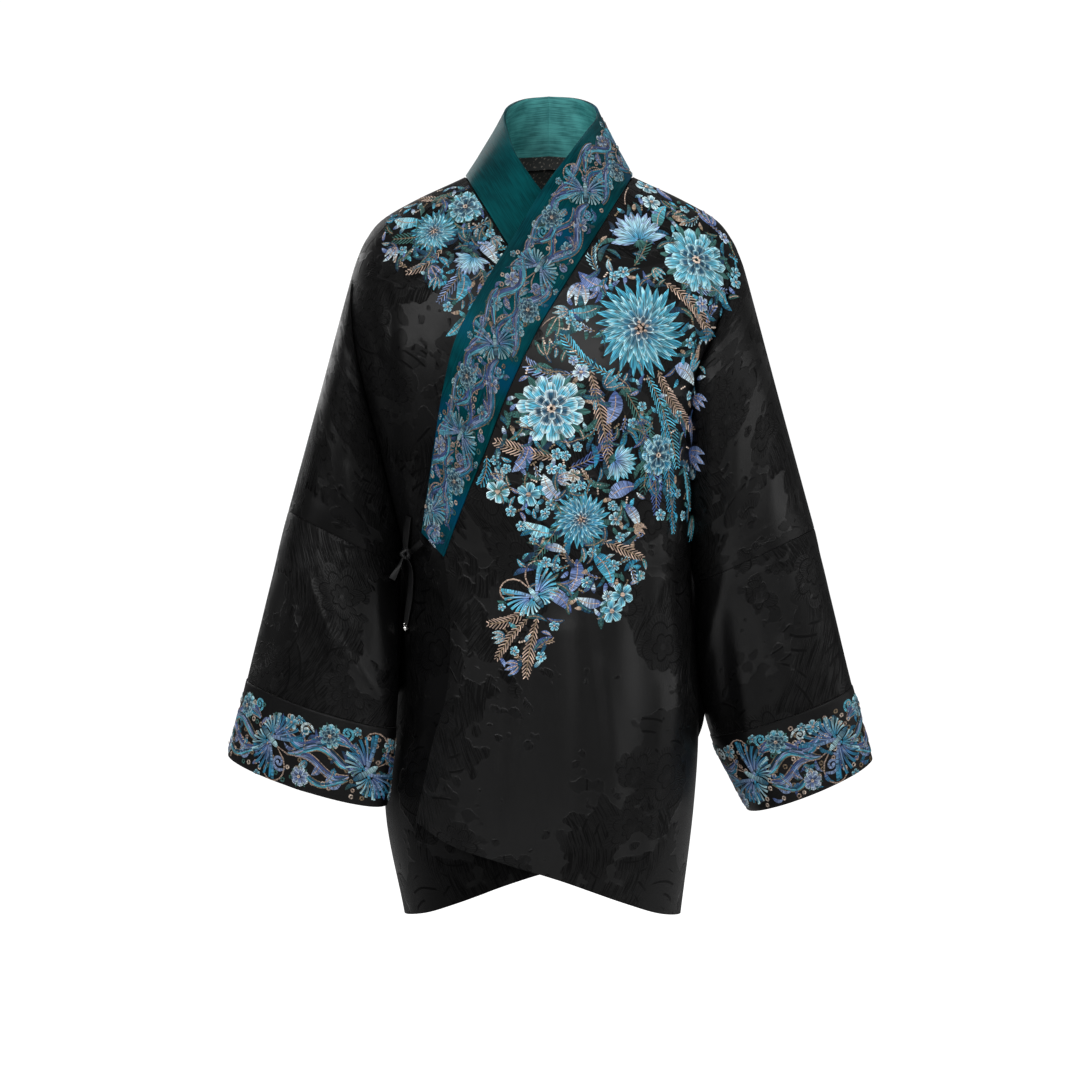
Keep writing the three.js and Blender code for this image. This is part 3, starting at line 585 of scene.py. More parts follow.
def bloom_cells(w, cloth, frequency):
    """Radius and angle round the nearest flower head's centre, and a random value for each head."""
    cells = dict(voronoi_dimensions="2D", feature="F1", Scale=frequency, Randomness=0.75)
    centre = w.texture("Voronoi", "Position", cloth, **cells)
    luck, _ = w.parts(w.texture("Voronoi", "Color", cloth, **cells))
    x, y = w.parts(w.vector("SUBTRACT", cloth, centre))
    radius = w.math("MULTIPLY", w.vector("LENGTH", w.join(x, y)), frequency)
    return radius, w.math("ARCTAN2", y, x), luck


def head_figure(w, radius, angle, luck):
    """A scalloped head of rings and fine rays, and the place in it: 0 at its centre, 1 at its rim."""
    petals = w.math("ROUND", w.math("MULTIPLY_ADD", luck, 4.0, 5.0))
    scallop = w.math("ABSOLUTE", w.math("SINE", w.math("MULTIPLY", angle, w.math("MULTIPLY", petals, 0.5))))
    inside = w.math("DIVIDE", radius, w.math("MULTIPLY_ADD", scallop, 0.12, 0.24))
    ring = w.math("FRACT", w.math("MULTIPLY", inside, 2.6))
    outline = w.ramp(w.math("ABSOLUTE", w.math("SUBTRACT", ring, 0.5)), 0.38, 0.48)
    swirl = w.math("MULTIPLY_ADD", angle, 58.0, w.math("MULTIPLY", ring, 2.5))
    rays = w.math("MULTIPLY_ADD", w.math("SINE", swirl), 0.5, 0.5)
    head = w.math("MAXIMUM", outline, w.math("MULTIPLY", w.ramp(rays, 0.4, 0.8), 0.55))
    head = w.math("MULTIPLY", head, w.math("LESS_THAN", inside, 1.0))
    return w.math("MULTIPLY", head, w.ramp(inside, 0.05, 0.22)), inside


def scroll_figure(w, cloth, radius, angle, inside):
    """A few broad arcs round each head, broken by noise."""
    arcs = w.math("SINE", w.math("MULTIPLY_ADD", radius, 44.0, w.math("MULTIPLY", angle, 2.0)))
    broken = w.texture("Noise", "Fac", cloth, Scale=26.0, Detail=2.0)
    scroll = w.math("MULTIPLY", w.ramp(arcs, 0.7, 0.95), w.ramp(broken, 0.5, 0.56))
    return w.math("MULTIPLY", scroll, w.math("GREATER_THAN", inside, 1.15))


def hair_figure(w, cloth, inside):
    """Drifts of hair-fine leaves that follow a slow wave."""
    drift = w.texture("Noise", "Fac", cloth, Scale=7.0, Detail=1.0)
    x, y = w.parts(cloth)
    slant = w.math("MULTIPLY_ADD", w.math("SINE", w.math("MULTIPLY", y, 22.0)), 0.03, x)
    stretched = w.join(w.math("MULTIPLY", slant, 820.0), w.math("MULTIPLY", y, 34.0))
    hair = w.texture("Noise", "Fac", stretched, Scale=1.0, Detail=2.0)
    hair = w.math("MULTIPLY", w.ramp(hair, 0.46, 0.56), w.ramp(drift, 0.44, 0.5))
    return w.math("MULTIPLY", hair, w.math("GREATER_THAN", inside, 1.05))


def leafy_zones(w, cloth):
    """Large leafy silhouettes, with fewer of them round the middle of each front."""
    leafy = w.texture("Voronoi", "Distance", cloth, voronoi_dimensions="2D", Scale=62.0, Randomness=0.9)
    lobes = w.texture("Noise", "Fac", cloth, Scale=7.5, Detail=4.5, Roughness=0.6, Distortion=0.4)
    x, _ = w.parts(cloth)
    aside = w.ramp(w.math("ABSOLUTE", w.math("ADD", x, FRONT_MIDDLE)), 0.04, 0.13)
    lobes = w.math("MULTIPLY_ADD", aside, 0.075, w.math("MULTIPLY_ADD", leafy, -0.1, lobes))
    return w.ramp(lobes, 0.475, 0.493)


# %% The two groups
def damask_group():
    group, given, out = new_group(
        "damask",
        [("Cloth", VECTOR, None), ("Bloom size", FLOAT, BLOOM_SIZE)],
        [("Figure", FLOAT), ("Zone", FLOAT)],
    )
    w = Wiring(group)
    cloth = given.outputs["Cloth"]
    sway = w.texture("Noise", "Color", cloth, Scale=14.0, Detail=1.0)
    sway = w.vector("SUBTRACT", sway, (0.5,) * 3)
    cloth = w.vector("ADD", cloth, w.vector("MULTIPLY", sway, (0.012,) * 3))
    radius, angle, luck = bloom_cells(w, cloth, w.math("DIVIDE", 1.0, given.outputs["Bloom size"]))
    head, inside = head_figure(w, radius, angle, luck)
    scroll = scroll_figure(w, cloth, radius, angle, inside)
    hair = hair_figure(w, cloth, inside)
    figure = w.math("MAXIMUM", head, w.math("MAXIMUM", scroll, hair))
    zone = leafy_zones(w, cloth)
    w.put(out.inputs["Figure"], w.math("MULTIPLY", figure, zone, clamp=True))
    w.put(out.inputs["Zone"], zone)
    return group


TWILL_PITCH = 0.0009  # metres from one rib of the weave to the next


def twill_group():
    """Fine diagonal ribs of the weave with the odd thicker thread, as a height."""
    group, given, out = new_group(
        "twill",
        [("Cloth", VECTOR, None), ("Pitch", FLOAT, TWILL_PITCH)],
        [("Height", FLOAT), ("Slub", FLOAT)],
    )
    w = Wiring(group)
    x, y = w.parts(given.outputs["Cloth"])
    turns = w.math("DIVIDE", 2 * math.pi, given.outputs["Pitch"])
    rib = w.math("SINE", w.math("MULTIPLY", w.math("ADD", x, w.math("MULTIPLY", y, 0.6)), turns))
    thread = w.join(w.math("MULTIPLY", x, 900.0), w.math("MULTIPLY", y, 40.0))
    slub = w.texture("Noise", "Fac", thread, Scale=1.0, Detail=2.0)
    w.put(out.inputs["Height"], w.math("MULTIPLY_ADD", rib, 0.35, slub))
    w.put(out.inputs["Slub"], slub)
    return group


DAMASK, TWILL = damask_group(), twill_group()
print("finishing groups:", DAMASK.name, TWILL.name)

# %% [markdown]
# ## The silks
# Each silk is one Principled shader that takes its colour, roughness and relief from the groups. Black silk
# shows mostly what it reflects, so its colour is nearly black all over and its sheen does the work: the
# damask's zones and figures are duller than the satin between them. The under front's copy of the damask
# shines less, and less still towards its hem, as painted shade of the lap. The teal band has a blue wash in
# places.

# %% The silks
def new_material(name, **sockets):
    material = bpy.data.materials.new(name)
    material.use_nodes = True
    shader = material.node_tree.nodes["Principled BSDF"]
    for key, value in sockets.items():
        shader.inputs[key.replace("_", " ")].default_value = value
    return material, shader, Wiring(material.node_tree)


def damask_silk(name, shine, hem_shade=0.0):
    """Shine is that of the plain satin; the second value is the share of it taken away near the hem, as
    painted shade.
    """
    material, shader, w = new_material(name, Specular_IOR_Level=shine * 0.8)
    cloth = w.cloth_map()
    woven = w.group(DAMASK, None, Cloth=cloth)
    figure, zone = woven["Figure"], woven["Zone"]
    twill = w.group(TWILL, None, Cloth=cloth)
    uneven = w.texture("Noise", "Fac", cloth, Scale=9.0, Detail=3.0)
    ground = w.colours(w.ramp(uneven, 0.3, 0.7), (0.0018, 0.0018, 0.0019, 1), (0.0042, 0.0042, 0.0045, 1))
    w.put(shader.inputs["Base Color"], w.colours(figure, ground, (0.0006, 0.0006, 0.0007, 1)))
    gloss = w.math("MULTIPLY_ADD", zone, -0.36 * shine, shine)
    gloss = w.math("MULTIPLY_ADD", figure, -0.3 * shine, gloss)
    # Painted shade: less shine towards the hem, from 0.4 to 0.66 metres down the cloth.
    low = w.ramp(w.parts(cloth)[1], 0.4, 0.66)
    gloss = w.math("MULTIPLY", gloss, w.math("MULTIPLY_ADD", low, -hem_shade, 1.0))
    w.put(shader.inputs["Specular IOR Level"], gloss)
    rough = w.math("ADD", w.math("MULTIPLY_ADD", figure, 0.08, 0.28), w.math("MULTIPLY", zone, 0.06))
    w.put(shader.inputs["Roughness"], w.math("MULTIPLY_ADD", twill["Slub"], 0.1, rough))
    relief = w.math("MULTIPLY_ADD", zone, 0.7, figure)
    height = w.math("MULTIPLY_ADD", twill["Height"], 0.15, relief)
    w.put(shader.inputs["Normal"], w.bump(height, 0.7, 0.0005))
    return material


def plain_silk(name, dark, light, rough, pitch=TWILL_PITCH, cloudy=18.0, wash=None, **sockets):
    """Between a dark and a light thread colour, in fine streaks and soft clouds, which on the teal band are
    painted sheen; wash is a colour in soft patches.
    """
    material, shader, w = new_material(name, **sockets)
    cloth = w.cloth_map()
    twill = w.group(TWILL, None, Cloth=cloth, Pitch=pitch)
    # Soft clouds between the two colours; on the teal band they are painted sheen.
    cloud = w.texture("Noise", "Fac", cloth, Scale=cloudy, Detail=4.0)
    streak = w.math("MULTIPLY_ADD", twill["Slub"], 0.5, w.math("MULTIPLY", cloud, 0.5))
    colour = w.colours(w.ramp(streak, 0.36, 0.64), (*dark, 1), (*light, 1))
    if wash:
        drift = w.texture("Noise", "Fac", cloth, Scale=11.0, Detail=1.0)
        colour = w.colours(w.math("MULTIPLY", w.ramp(drift, 0.48, 0.62), 0.75), colour, (*wash, 1))
    w.put(shader.inputs["Base Color"], colour)
    w.put(shader.inputs["Roughness"], w.math("MULTIPLY_ADD", twill["Slub"], 0.14, rough))
    w.put(shader.inputs["Normal"], w.bump(twill["Height"], 0.3, 0.0003))
    return material


BLACK_DAMASK = damask_silk("black_damask", 0.32)
# The under front's copy shines less all over and less still near its hem: painted shade of the lap over it.
UNDER_DAMASK_SHADED = damask_silk("black_damask_under_shaded", 0.2, 0.5)
BLACK_SATIN = plain_silk(
    "black_satin", (0.0012, 0.0012, 0.0014), (0.003, 0.003, 0.0033), 0.34, Specular_IOR_Level=0.22
)
# Dark and light teal: thread tone in fine streaks, and painted sheen in broad clouds.
TEAL_THREADS_AND_SHEEN = (0.0, 0.012, 0.016), (0.0, 0.052, 0.06)
TEAL_SILK = plain_silk(
    "teal_silk", *TEAL_THREADS_AND_SHEEN, 0.34, cloudy=22.0, Specular_IOR_Level=0.3, Specular_Tint=(0.05, 0.85, 0.9, 1)
)
TEAL_WASHED = plain_silk(
    "teal_silk_washed", *TEAL_THREADS_AND_SHEEN, 0.34, cloudy=22.0, wash=(0.0, 0.042, 0.105), Specular_IOR_Level=0.3,
    Specular_Tint=(0.05, 0.7, 0.9, 1),
)
# The inside of the band is the same teal made far lighter: painted light on the lit inside of the stand.
TEAL_INSIDE_LIT = plain_silk(
    "teal_silk_inside_lit", (0.012, 0.17, 0.175), (0.09, 0.46, 0.45), 0.5, cloudy=45.0, Sheen_Weight=0.2,
    Sheen_Tint=(0.3, 0.8, 0.8, 1),
)
RIBBON_SILK = plain_silk(
    "ribbon_silk", (0.002, 0.002, 0.0022), (0.006, 0.006, 0.0065), 0.3, pitch=0.0006, Specular_IOR_Level=0.3
)


FLECK_SCALE, FLECK_REACH = 240.0, 0.28  # flecks to a metre, and their size as a share of their cell


def lining_silk():
    """A dark lining with small flecks of a paler thread."""
    material, shader, w = new_material("lining", Sheen_Weight=0.1)
    cloth = w.cloth_map()
    cells = dict(voronoi_dimensions="2D", Scale=FLECK_SCALE, Randomness=0.9)
    fleck = w.texture("Voronoi", "Distance", cloth, **cells)
    rare = w.texture("Noise", "Fac", cloth, Scale=420.0, Detail=1.0)
    shown = w.math("MULTIPLY", w.math("LESS_THAN", fleck, FLECK_REACH), w.ramp(rare, 0.5, 0.6))
    w.put(shader.inputs["Base Color"], w.colours(shown, (0.017, 0.02, 0.019, 1), (0.2, 0.17, 0.14, 1)))
    w.put(shader.inputs["Roughness"], w.math("MULTIPLY_ADD", shown, -0.2, 0.6))
    w.put(shader.inputs["Normal"], w.bump(w.group(TWILL, "Height", Cloth=cloth), 0.4, 0.0003))
    return material


LINING = lining_silk()
print("materials:", [m.name for m in bpy.data.materials])

# %% [markdown]
# ## Fronts and back
# The wearer's left front lies on top, so its layer is the form itself, and the right front lies a lap's depth
# behind. Each panel is joined from its body and its upper sleeves along the fold line, as one piece of cloth.

# %% The three panels
CLOTH_WALL = 2  # damask and lining together


def panel(name, body, caps, flip, silk=BLACK_DAMASK):
    """Joins a body grid and its (sleeve grid, column of the body it shares, direction) rows."""
    down, along = lengths(body, 0), lengths(body, 1)
    start = -1 if len(caps) == 1 else along.shape[1] // 2
    along = along - along[:, start][:, None]
    sheets = [lay_grid(body, along, down)]
    for cap, shared, sign in caps:
        top = ROWS["shoulder"]
        v = down[top : top + len(cap), shared][:, None] + np.zeros(cap.shape[:2])
        u = along[top : top + len(cap), shared][:, None] + sign * lengths(cap, 1)
        extra = cap if sign > 0 else cap[:, ::-1]
        sheets.append(lay_grid(extra, u if sign > 0 else u[:, ::-1], v))
    return finish_cloth(name, sheets, CLOTH_WALL, flip, [silk, LINING])


for hand, layer in (("left", "outer"), ("right", "under")):
    body, cap = front_grid(hand, layer), cap_grid(hand, layer)
    if hand == "right":  # drawn from its free edge, so turned to run with x
        piece = panel("front_under", body, [(cap, -1, 1)], False, UNDER_DAMASK_SHADED)
    else:
        piece = panel("front_outer", body, [(cap, -1, 1)], True)
    wear(piece, "black_silk", hand + "_front")
    cut_areas[piece.name] = outer_area([body, cap])

body = back_grid()
caps = [(cap_grid("right", "back"), 0, -1), (cap_grid("left", "back"), -1, 1)]
back = panel("back_panel", body, caps, False)
wear(back, "black_silk", "back")
cut_areas[back.name] = outer_area([body, caps[0][0], caps[1][0]])

# %% [markdown]
# ## Sleeve ends and cuff bands
# The lower sleeve is a tube that starts on the seam halfway down the arm. It begins as wide as the upper
# sleeve is there, and turns a little forward as a hanging arm does. The cuff band is sewn round its end and
# stands slightly proud, with rounded edges where the band is turned in.

# %% A flattened tube
SLEEVE_ENDS = {  # along, inner fold x y z, outer fold x y z, half depth, how far the front dips
    "right": [
        (0, -155.5, 0, -400, -273.4, 0, -342, 56, 0), (0.35, -157, -40, -480, -291.5, 3, -424, 54, 0.08),
        (0.7, -160, -62, -565, -314, 8, -516.6, 47, 0.15), (1, -169, -66, -646, -335, 12, -597, 42, 0.22),
    ],
    "left": [
        (0, 152.5, 0, -418, 278.4, 0, -360, 56, 0), (0.35, 157, 24, -500, 297, -12, -444.5, 52, 0.08),
        (0.7, 173, 38, -576, 314.5, -25, -526, 46, 0.14), (1, 213, 40, -654, 334, -32, -604, 40, 0.2),
    ],
}
SLEEVE_CURVES = {
    hand: [curve(*[(row[0], row[k]) for row in rows]) for k in range(1, 9)]
    for hand, rows in SLEEVE_ENDS.items()
}
SETTLED = 0.3  # the share of a sleeve end after which it no longer follows the upper sleeve's form
TUBE_FADE, BEHIND = 20, 0.6  # folds die out where the tube is flatter; the share of them that shows behind
SEAM_DROP = 0.6  # how far the first ring lies below the upper sleeve, so that the two don't touch


def sleeve_points(hand, s, angle, lift=0.0):
    """Points on a sleeve end; angle 0 is its inner fold and the front is the first half turn."""
    s, angle = np.broadcast_arrays(np.asarray(s, float), np.asarray(angle, float))
    values = [at(s) for at in SLEEVE_CURVES[hand]]
    inner, outer = np.stack(values[:3], -1), np.stack(values[3:6], -1)
    half_depth, dip = values[6], values[7]
    width = outer - inner
    width /= np.linalg.norm(width, axis=-1, keepdims=True)
    ahead = width * width[..., 1:2] + np.array([0, -1.0, 0])
    ahead /= np.linalg.norm(ahead, axis=-1, keepdims=True)
    point = inner + (outer - inner) * ((1 - np.cos(angle)) / 2)[..., None]
    sine = np.sin(angle)
    sine = np.where(np.abs(sine) < 1e-6, 0, sine)
    x, z = point[..., 0], point[..., 2]
    front, behind = (depth(x, z, face, True) for face in ("front", "back"))
    if hand == "right":  # its upper sleeve belongs to the under layer
        front = front - LAP_DEPTH * np.minimum(1, front / LAP_FADE)
    tube = half_depth * np.abs(sine)
    folds = fold_height(SLEEVE_FOLDS + FINE_SLEEVE_FOLDS, x, z) * np.minimum(1, tube / TUBE_FADE)
    blend = np.clip(s / SETTLED, 0, 1)
    blend = blend * blend * (3 - 2 * blend)
    out = np.where(sine >= 0, mix(front, tube + folds, blend), mix(behind, tube + BEHIND * folds, blend))
    out = np.sign(sine) * out
    point = point + ahead * (out + np.sign(out) * lift)[..., None]
    point = point - width * (np.cos(angle) * lift)[..., None]
    point[..., 2] -= dip * out
    return point


def tube_grid(hand, start, end, rings, around, lift=0.0):
    s = np.linspace(start, end, rings + 1)[:, None]
    turn = np.linspace(0, 2 * math.pi, around + 1)[None]
    points = sleeve_points(hand, s, turn, lift)
    points[:, -1] = points[:, 0]
    if start == 0:
        points[0, :, 2] -= SEAM_DROP
    return points


CUFF_TOP, CUFF_GAP, CUFF_LIFT = 0.7, 0.0026, 0.7  # where it starts, the gap there, how proud it stands
AROUND, CUFF_WALL, CUFF_ROUNDING = 120, 2.6, 0.7
MAP_U, MAP_V = 300, 420  # where a sleeve end lies on the damask's map, clear of the panels
for hand in ("left", "right"):
    points = tube_grid(hand, 0, CUFF_TOP, 56, AROUND)
    sheet = lay_grid(points, lengths(points, 1) * SIGN[hand] + MAP_U, lengths(points, 0) + MAP_V)
    silks = [BLACK_DAMASK, LINING]
    piece = finish_cloth(hand + "_sleeve_end", [sheet], CLOTH_WALL, hand == "left", silks)
    wear(piece, "black_silk", hand + "_sleeve")
    cut_areas[piece.name] = outer_area([points])
    points = tube_grid(hand, CUFF_TOP + CUFF_GAP, 1, 26, AROUND, CUFF_LIFT)
    sheet = lay_grid(points, lengths(points, 1) * SIGN[hand], lengths(points, 0))
    silks = [BLACK_SATIN, LINING]
    piece = finish_cloth(hand + "_cuff_band", [sheet], CUFF_WALL, hand == "left", silks, CUFF_ROUNDING)
    wear(piece, "cuff_silk", hand + "_cuff")
    cut_areas[piece.name] = outer_area([points])

# %% [markdown]
# ## The collar band
# A long strip with stiffening, so its wall is thicker and its edges are rounded. It is built in two halves
# that meet at the centre back, each from its seam edge to its free edge.

# %% Collar halves
COLLAR_WIDTH, COLLAR_WALL, COLLAR_ROUNDING = 65, 3, 0.8
COLLAR_STEPS, COLLAR_COLUMNS = 150, 19
COLLAR_PROUD = 0.8  # how far the lying part of the band stands out from the front


def collar_points(hand, row, across):
    """Points on the band: across is 0 at the seam and 1 at the free edge."""
    row, across = np.broadcast_arrays(np.asarray(row, float), np.asarray(across, float))
    seam_x, seam_z, edge_x, edge_y, edge_z, lay, clear = (at(row) for at in COLLAR[hand])
    across = mix(clear / COLLAR_WIDTH, 1, across)
    layer = "outer" if hand == "left" else "under"
    seam_back, seam_front = on_cloth("back", seam_x, seam_z)[..., 1], on_cloth(layer, seam_x, seam_z)[..., 1]
    seam_y = np.where(row < NECK_ROW, seam_back, seam_front)
    x, z = mix(seam_x, edge_x, across), mix(seam_z, edge_z, across)
    lying = on_cloth(layer, x, z)[..., 1] - COLLAR_PROUD
    y = mix(mix(seam_y, edge_y, across), lying, np.clip(lay, 0, 1))
    return np.stack([x, y, z], -1)


for hand in ("left", "right"):
    rows = np.linspace(0, END_ROW, COLLAR_STEPS + 1)[:, None]
    points = collar_points(hand, rows, np.linspace(0, 1, COLLAR_COLUMNS)[None])
    sheet = lay_grid(points, lengths(points, 1), lengths(points, 0))
    silks = [TEAL_WASHED if hand == "left" else TEAL_SILK, TEAL_INSIDE_LIT]
    name = hand + "_collar_band"
    piece = finish_cloth(name, [sheet], COLLAR_WALL, hand == "right", silks, COLLAR_ROUNDING)
    wear(piece, "teal_silk", hand + "_collar")
    cut_areas[name] = outer_area([points])

# %% [markdown]
# ## Turned edges that close the joins
# A real seam has its turned edges inside, so no light comes through it. Here light could pass down the neck
# seam, and in the crease under each arm, where sleeve and side seam lie together. Each gets its turned edge
# as a narrow strip of silk, from inside one cloth to inside the other.


# %% Neck tape and underarm allowances
def tape(name, points, wall, material, flip=False):
    sheet = lay_grid(points, lengths(points, 1), lengths(points, 0))
    piece = finish_cloth(name, [sheet], wall, flip, [material])
    wear(piece, "black_silk")
    cut_areas[name] = outer_area([points])


TAPE_WALL = 0.5
rows = np.linspace(NECK_ROW + 1, 0, 60)
strip = []
for hand, row in [("right", r) for r in rows[:-1]] + [("left", r) for r in rows[::-1]]:
    low, high = collar_points(hand, row, 0.0), collar_points(hand, row, 0.1)
    inward = np.array([-low[0], -low[1] * 0.9, 0])
    inward /= np.linalg.norm(inward)
    strip.append([low + inward * 3.0 + [0, 0, -7], low + inward * 3.4, high + inward * 3.6])
tape("neck_seam_tape", np.array(strip), TAPE_WALL, LINING)


def underarm(hand, low):
    """From the side seam of the body to the inner fold of the sleeve."""
    z = np.linspace(UNDERARM[hand] + 1, low, 40)
    s = np.linspace(0, 1, 500)
    fold = sleeve_points(hand, s, 0.0)
    in_x, in_z, _ = SLEEVE_SEAM[hand]
    notch = np.array([[SIDE[hand](UNDERARM[hand]), 0, UNDERARM[hand] + 2], [in_x, 0, in_z]])
    path = np.concatenate([notch, fold[s > 0.01]])[::-1]
    sleeve = np.stack([np.interp(z, path[:, 2], path[:, k]) for k in (0, 1)] + [z], -1)
    body = np.stack([SIDE[hand](z), 0 * z, z], -1)
    closing = np.clip((z - low) / UNDERARM_CLOSING, 0, 1)[:, None]
    reach = np.array([SIGN[hand] * UNDERARM_REACH, 0, 0])
    sleeve = mix(body, sleeve + reach, closing)
    body = body - reach
    return np.stack([body, mix(body, sleeve, 0.5) + [0, 1.5, 0], sleeve], 1)


UNDERARM_REACH, UNDERARM_CLOSING = 4.0, 45  # how far it goes into each cloth, and the height where it ends
for hand, low in (("right", -545), ("left", -580)):
    tape(hand + "_underarm_allowance", underarm(hand, low), 0.4, BLACK_SATIN, hand == "right")

# %% [markdown]
# ## Side and arm seams
# The seams down the sides and along the arms join front and back at the fold of the form, where the two
# cloths only just meet. Their allowances are pressed open inside, so each is a narrow strip that follows the
# seam a few millimetres behind it and bridges the join. A bevel or a thicker wall would close the gap too,
# but it would round off the sharp edge that a pressed seam has.

# %% Side and arm allowances
ALLOWANCE = [(3.6, -8), (2.9, 0), (3.6, 8)]  # how far behind the seam, and how far to the front or back


def turned_edge(hand, x, z):
    """A strip behind a seam between front and back, along its line in the front view."""
    path = np.stack([x, z], -1)
    way = np.gradient(path, axis=0)
    way /= np.linalg.norm(way, axis=1, keepdims=True)
    inward = np.stack([way[:, 1], -way[:, 0]], -1) * SIGN[hand]
    lines = [(path + inward * far, np.full(len(z), y)) for far, y in ALLOWANCE]
    return np.stack([np.stack([line[:, 0], y, line[:, 1]], -1) for line, y in lines], 1)


for hand in ("right", "left"):
    z = np.linspace(NECK_Z - 2, SLEEVE_SEAM[hand][2], 120)
    arm = turned_edge(hand, SIGN[hand] * OUTLINE(z), z)
    tape(hand + "_arm_allowance", arm, TAPE_WALL, BLACK_SATIN, hand == "left")
    z = np.linspace(UNDERARM[hand] - 2, HEM_Z + 0.6, 90)
    side = turned_edge(hand, SIDE[hand](z), z)
    tape(hand + "_side_allowance", side, TAPE_WALL, BLACK_SATIN, hand == "left")

# %% [markdown]
# ## Embroidery
# Silk floss covers much of the wearer's left front, the right shoulder, the outer collar band and the cuffs.
# Each petal, leaf and curl is a patch of parallel stitches that stands about a millimetre proud and is
# highest in the middle, because it is sewn over padding. So a patch is a narrow domed strip laid on the
# cloth: a line down its middle, a width at each point, and a colour from root to tip, some with a paler rim.
# A primitive for each would need thousands of operators, so the strips are joined into one mesh from arrays.


# %% Floss colours and the needle
def dye(code):
    """A linear colour from its usual six-figure code."""
    values = np.array([int(code[i : i + 2], 16) for i in (0, 2, 4)]) / 255
    return np.where(values <= 0.04045, values / 12.92, ((values + 0.055) / 1.055) ** 2.4)


FLOSS = {
    "pale": dye("b4dce4"), "turquoise": dye("5ebad2"), "mid": dye("2687ab"), "teal": dye("0f5876"),
    "deep": dye("0a3852"), "navy": dye("08223a"), "lavender": dye("8ca2cb"), "violet": dye("475f98"),
    "beige": dye("bba393"), "cream": dye("decbbb"), "green": dye("1f4a48"), "moss": dye("3c6f69"),
    "gold": dye("8d7a62"), "ice": dye("d6eaee"),
}


class Needle:
    """Gathers patches of stitches on grounds and sews them into one mesh; tone is its floss's brightness."""

    def __init__(self, tone):
        self.tone = tone
        self.patches = {}
        self.count = 0

    def patch(self, ground, spine, half, root, tip=None, rim=None, rise=0.8, lift=0.3, run="along", cells=4):
        """A domed strip: its half width, the rise of its dome, the lift of its edge, how its threads run."""
        spine = np.asarray(spine, float)
        half = np.broadcast_to(np.asarray(half, float), len(spine))
        way = np.gradient(spine, axis=0)
        way /= np.linalg.norm(way, axis=1, keepdims=True) + 1e-9
        side = np.stack([-way[:, 1], way[:, 0]], -1)
        t = np.linspace(-1, 1, cells + 1)
        flat = spine[:, None] + side[:, None] * (half[:, None] * t)[..., None]
        run_length = np.concatenate([[0], np.cumsum(np.linalg.norm(np.diff(spine, axis=0), axis=1))])
        s = (run_length / run_length[-1])[:, None, None]
        height = lift + rise * (1 - t**2) * np.sqrt(half / half.max())[:, None]
        root, tip = FLOSS[root], FLOSS[tip or root]
        colour = mix(root, tip, s * s * (3 - 2 * s)) + np.zeros((len(spine), cells + 1, 3))
        if rim:
            edge = np.maximum(np.abs(t)[None, :, None] ** 3, np.clip((s - 0.72) / 0.2, 0, 1))
            colour = mix(colour, FLOSS[rim], np.clip(edge, 0, 1))
        along, over = np.broadcast_arrays(run_length[:, None], half[:, None] * t)
        thread = np.stack([over, along] if run == "along" else [along, over], -1)
        thread = thread + self.count * 7.31 % 97
        self.patches.setdefault(ground, []).append((flat, height, colour * self.tone, thread))
        self.count += 1

    def sew(self, name, carrier_slot):
        points, colours, threads, faces, start = [], [], [], [], 0
        for ground, patches in self.patches.items():
            flat = np.concatenate([p[0].reshape(-1, 2) for p in patches])
            height = np.concatenate([p[1].ravel() for p in patches])
            place, normal = ground.place(flat[:, 0], flat[:, 1])
            place = place + normal * height[:, None]
            at = 0
            for p in patches:
                rows, cols = p[1].shape
                size = rows * cols
                if ground.allows(place[at : at + size]):
                    corner = np.arange(size).reshape(rows, cols) + start
                    quad = [corner[:-1, :-1], corner[1:, :-1], corner[1:, 1:], corner[:-1, 1:]]
                    faces.append(np.stack(quad, -1).reshape(-1, 4)[:, :: ground.turn])
                    points.append(place[at : at + size])
                    colours.append(p[2].reshape(-1, 3))
                    threads.append(p[3].reshape(-1, 2))
                    start += size
                at += size
        points, faces = np.concatenate(points) * MM, np.concatenate(faces)
        mesh = bpy.data.meshes.new(name)
        mesh.from_pydata(points.tolist(), [], faces.tolist())
        colours = np.concatenate(colours)
        floss = mesh.color_attributes.new("floss", "FLOAT_COLOR", "POINT")
        floss.data.foreach_set("color", np.c_[colours, np.ones(len(colours))].astype(np.float32).ravel())
        uv = mesh.uv_layers.new(name="thread")
        uv.data.foreach_set("uv", (np.concatenate(threads)[faces.ravel()] * MM).astype(np.float32).ravel())
        mesh.materials.append(EMBROIDERY)
        piece = bpy.data.objects.new(name, mesh)
        bpy.context.collection.objects.link(piece)
        select_only(piece)
        bpy.ops.object.shade_smooth()
        wear(piece, carrier_slot)
        print(name, self.count, "patches,", 2 * len(faces), "triangles")
        return piece


print("floss colours:", len(FLOSS))

# %% [markdown]
# ## The floss finish
# Floss is shiny and lies in strands. Each point of a patch carries its dye as a colour attribute, and the UV
# map counts along and across its threads. So one material serves all the patches: it draws the strands as a
# fine wave of relief, with painted shade between them, and lightens and darkens them along their length.

# %% The floss finish
STRAND = 0.0015  # metres from one strand to the next


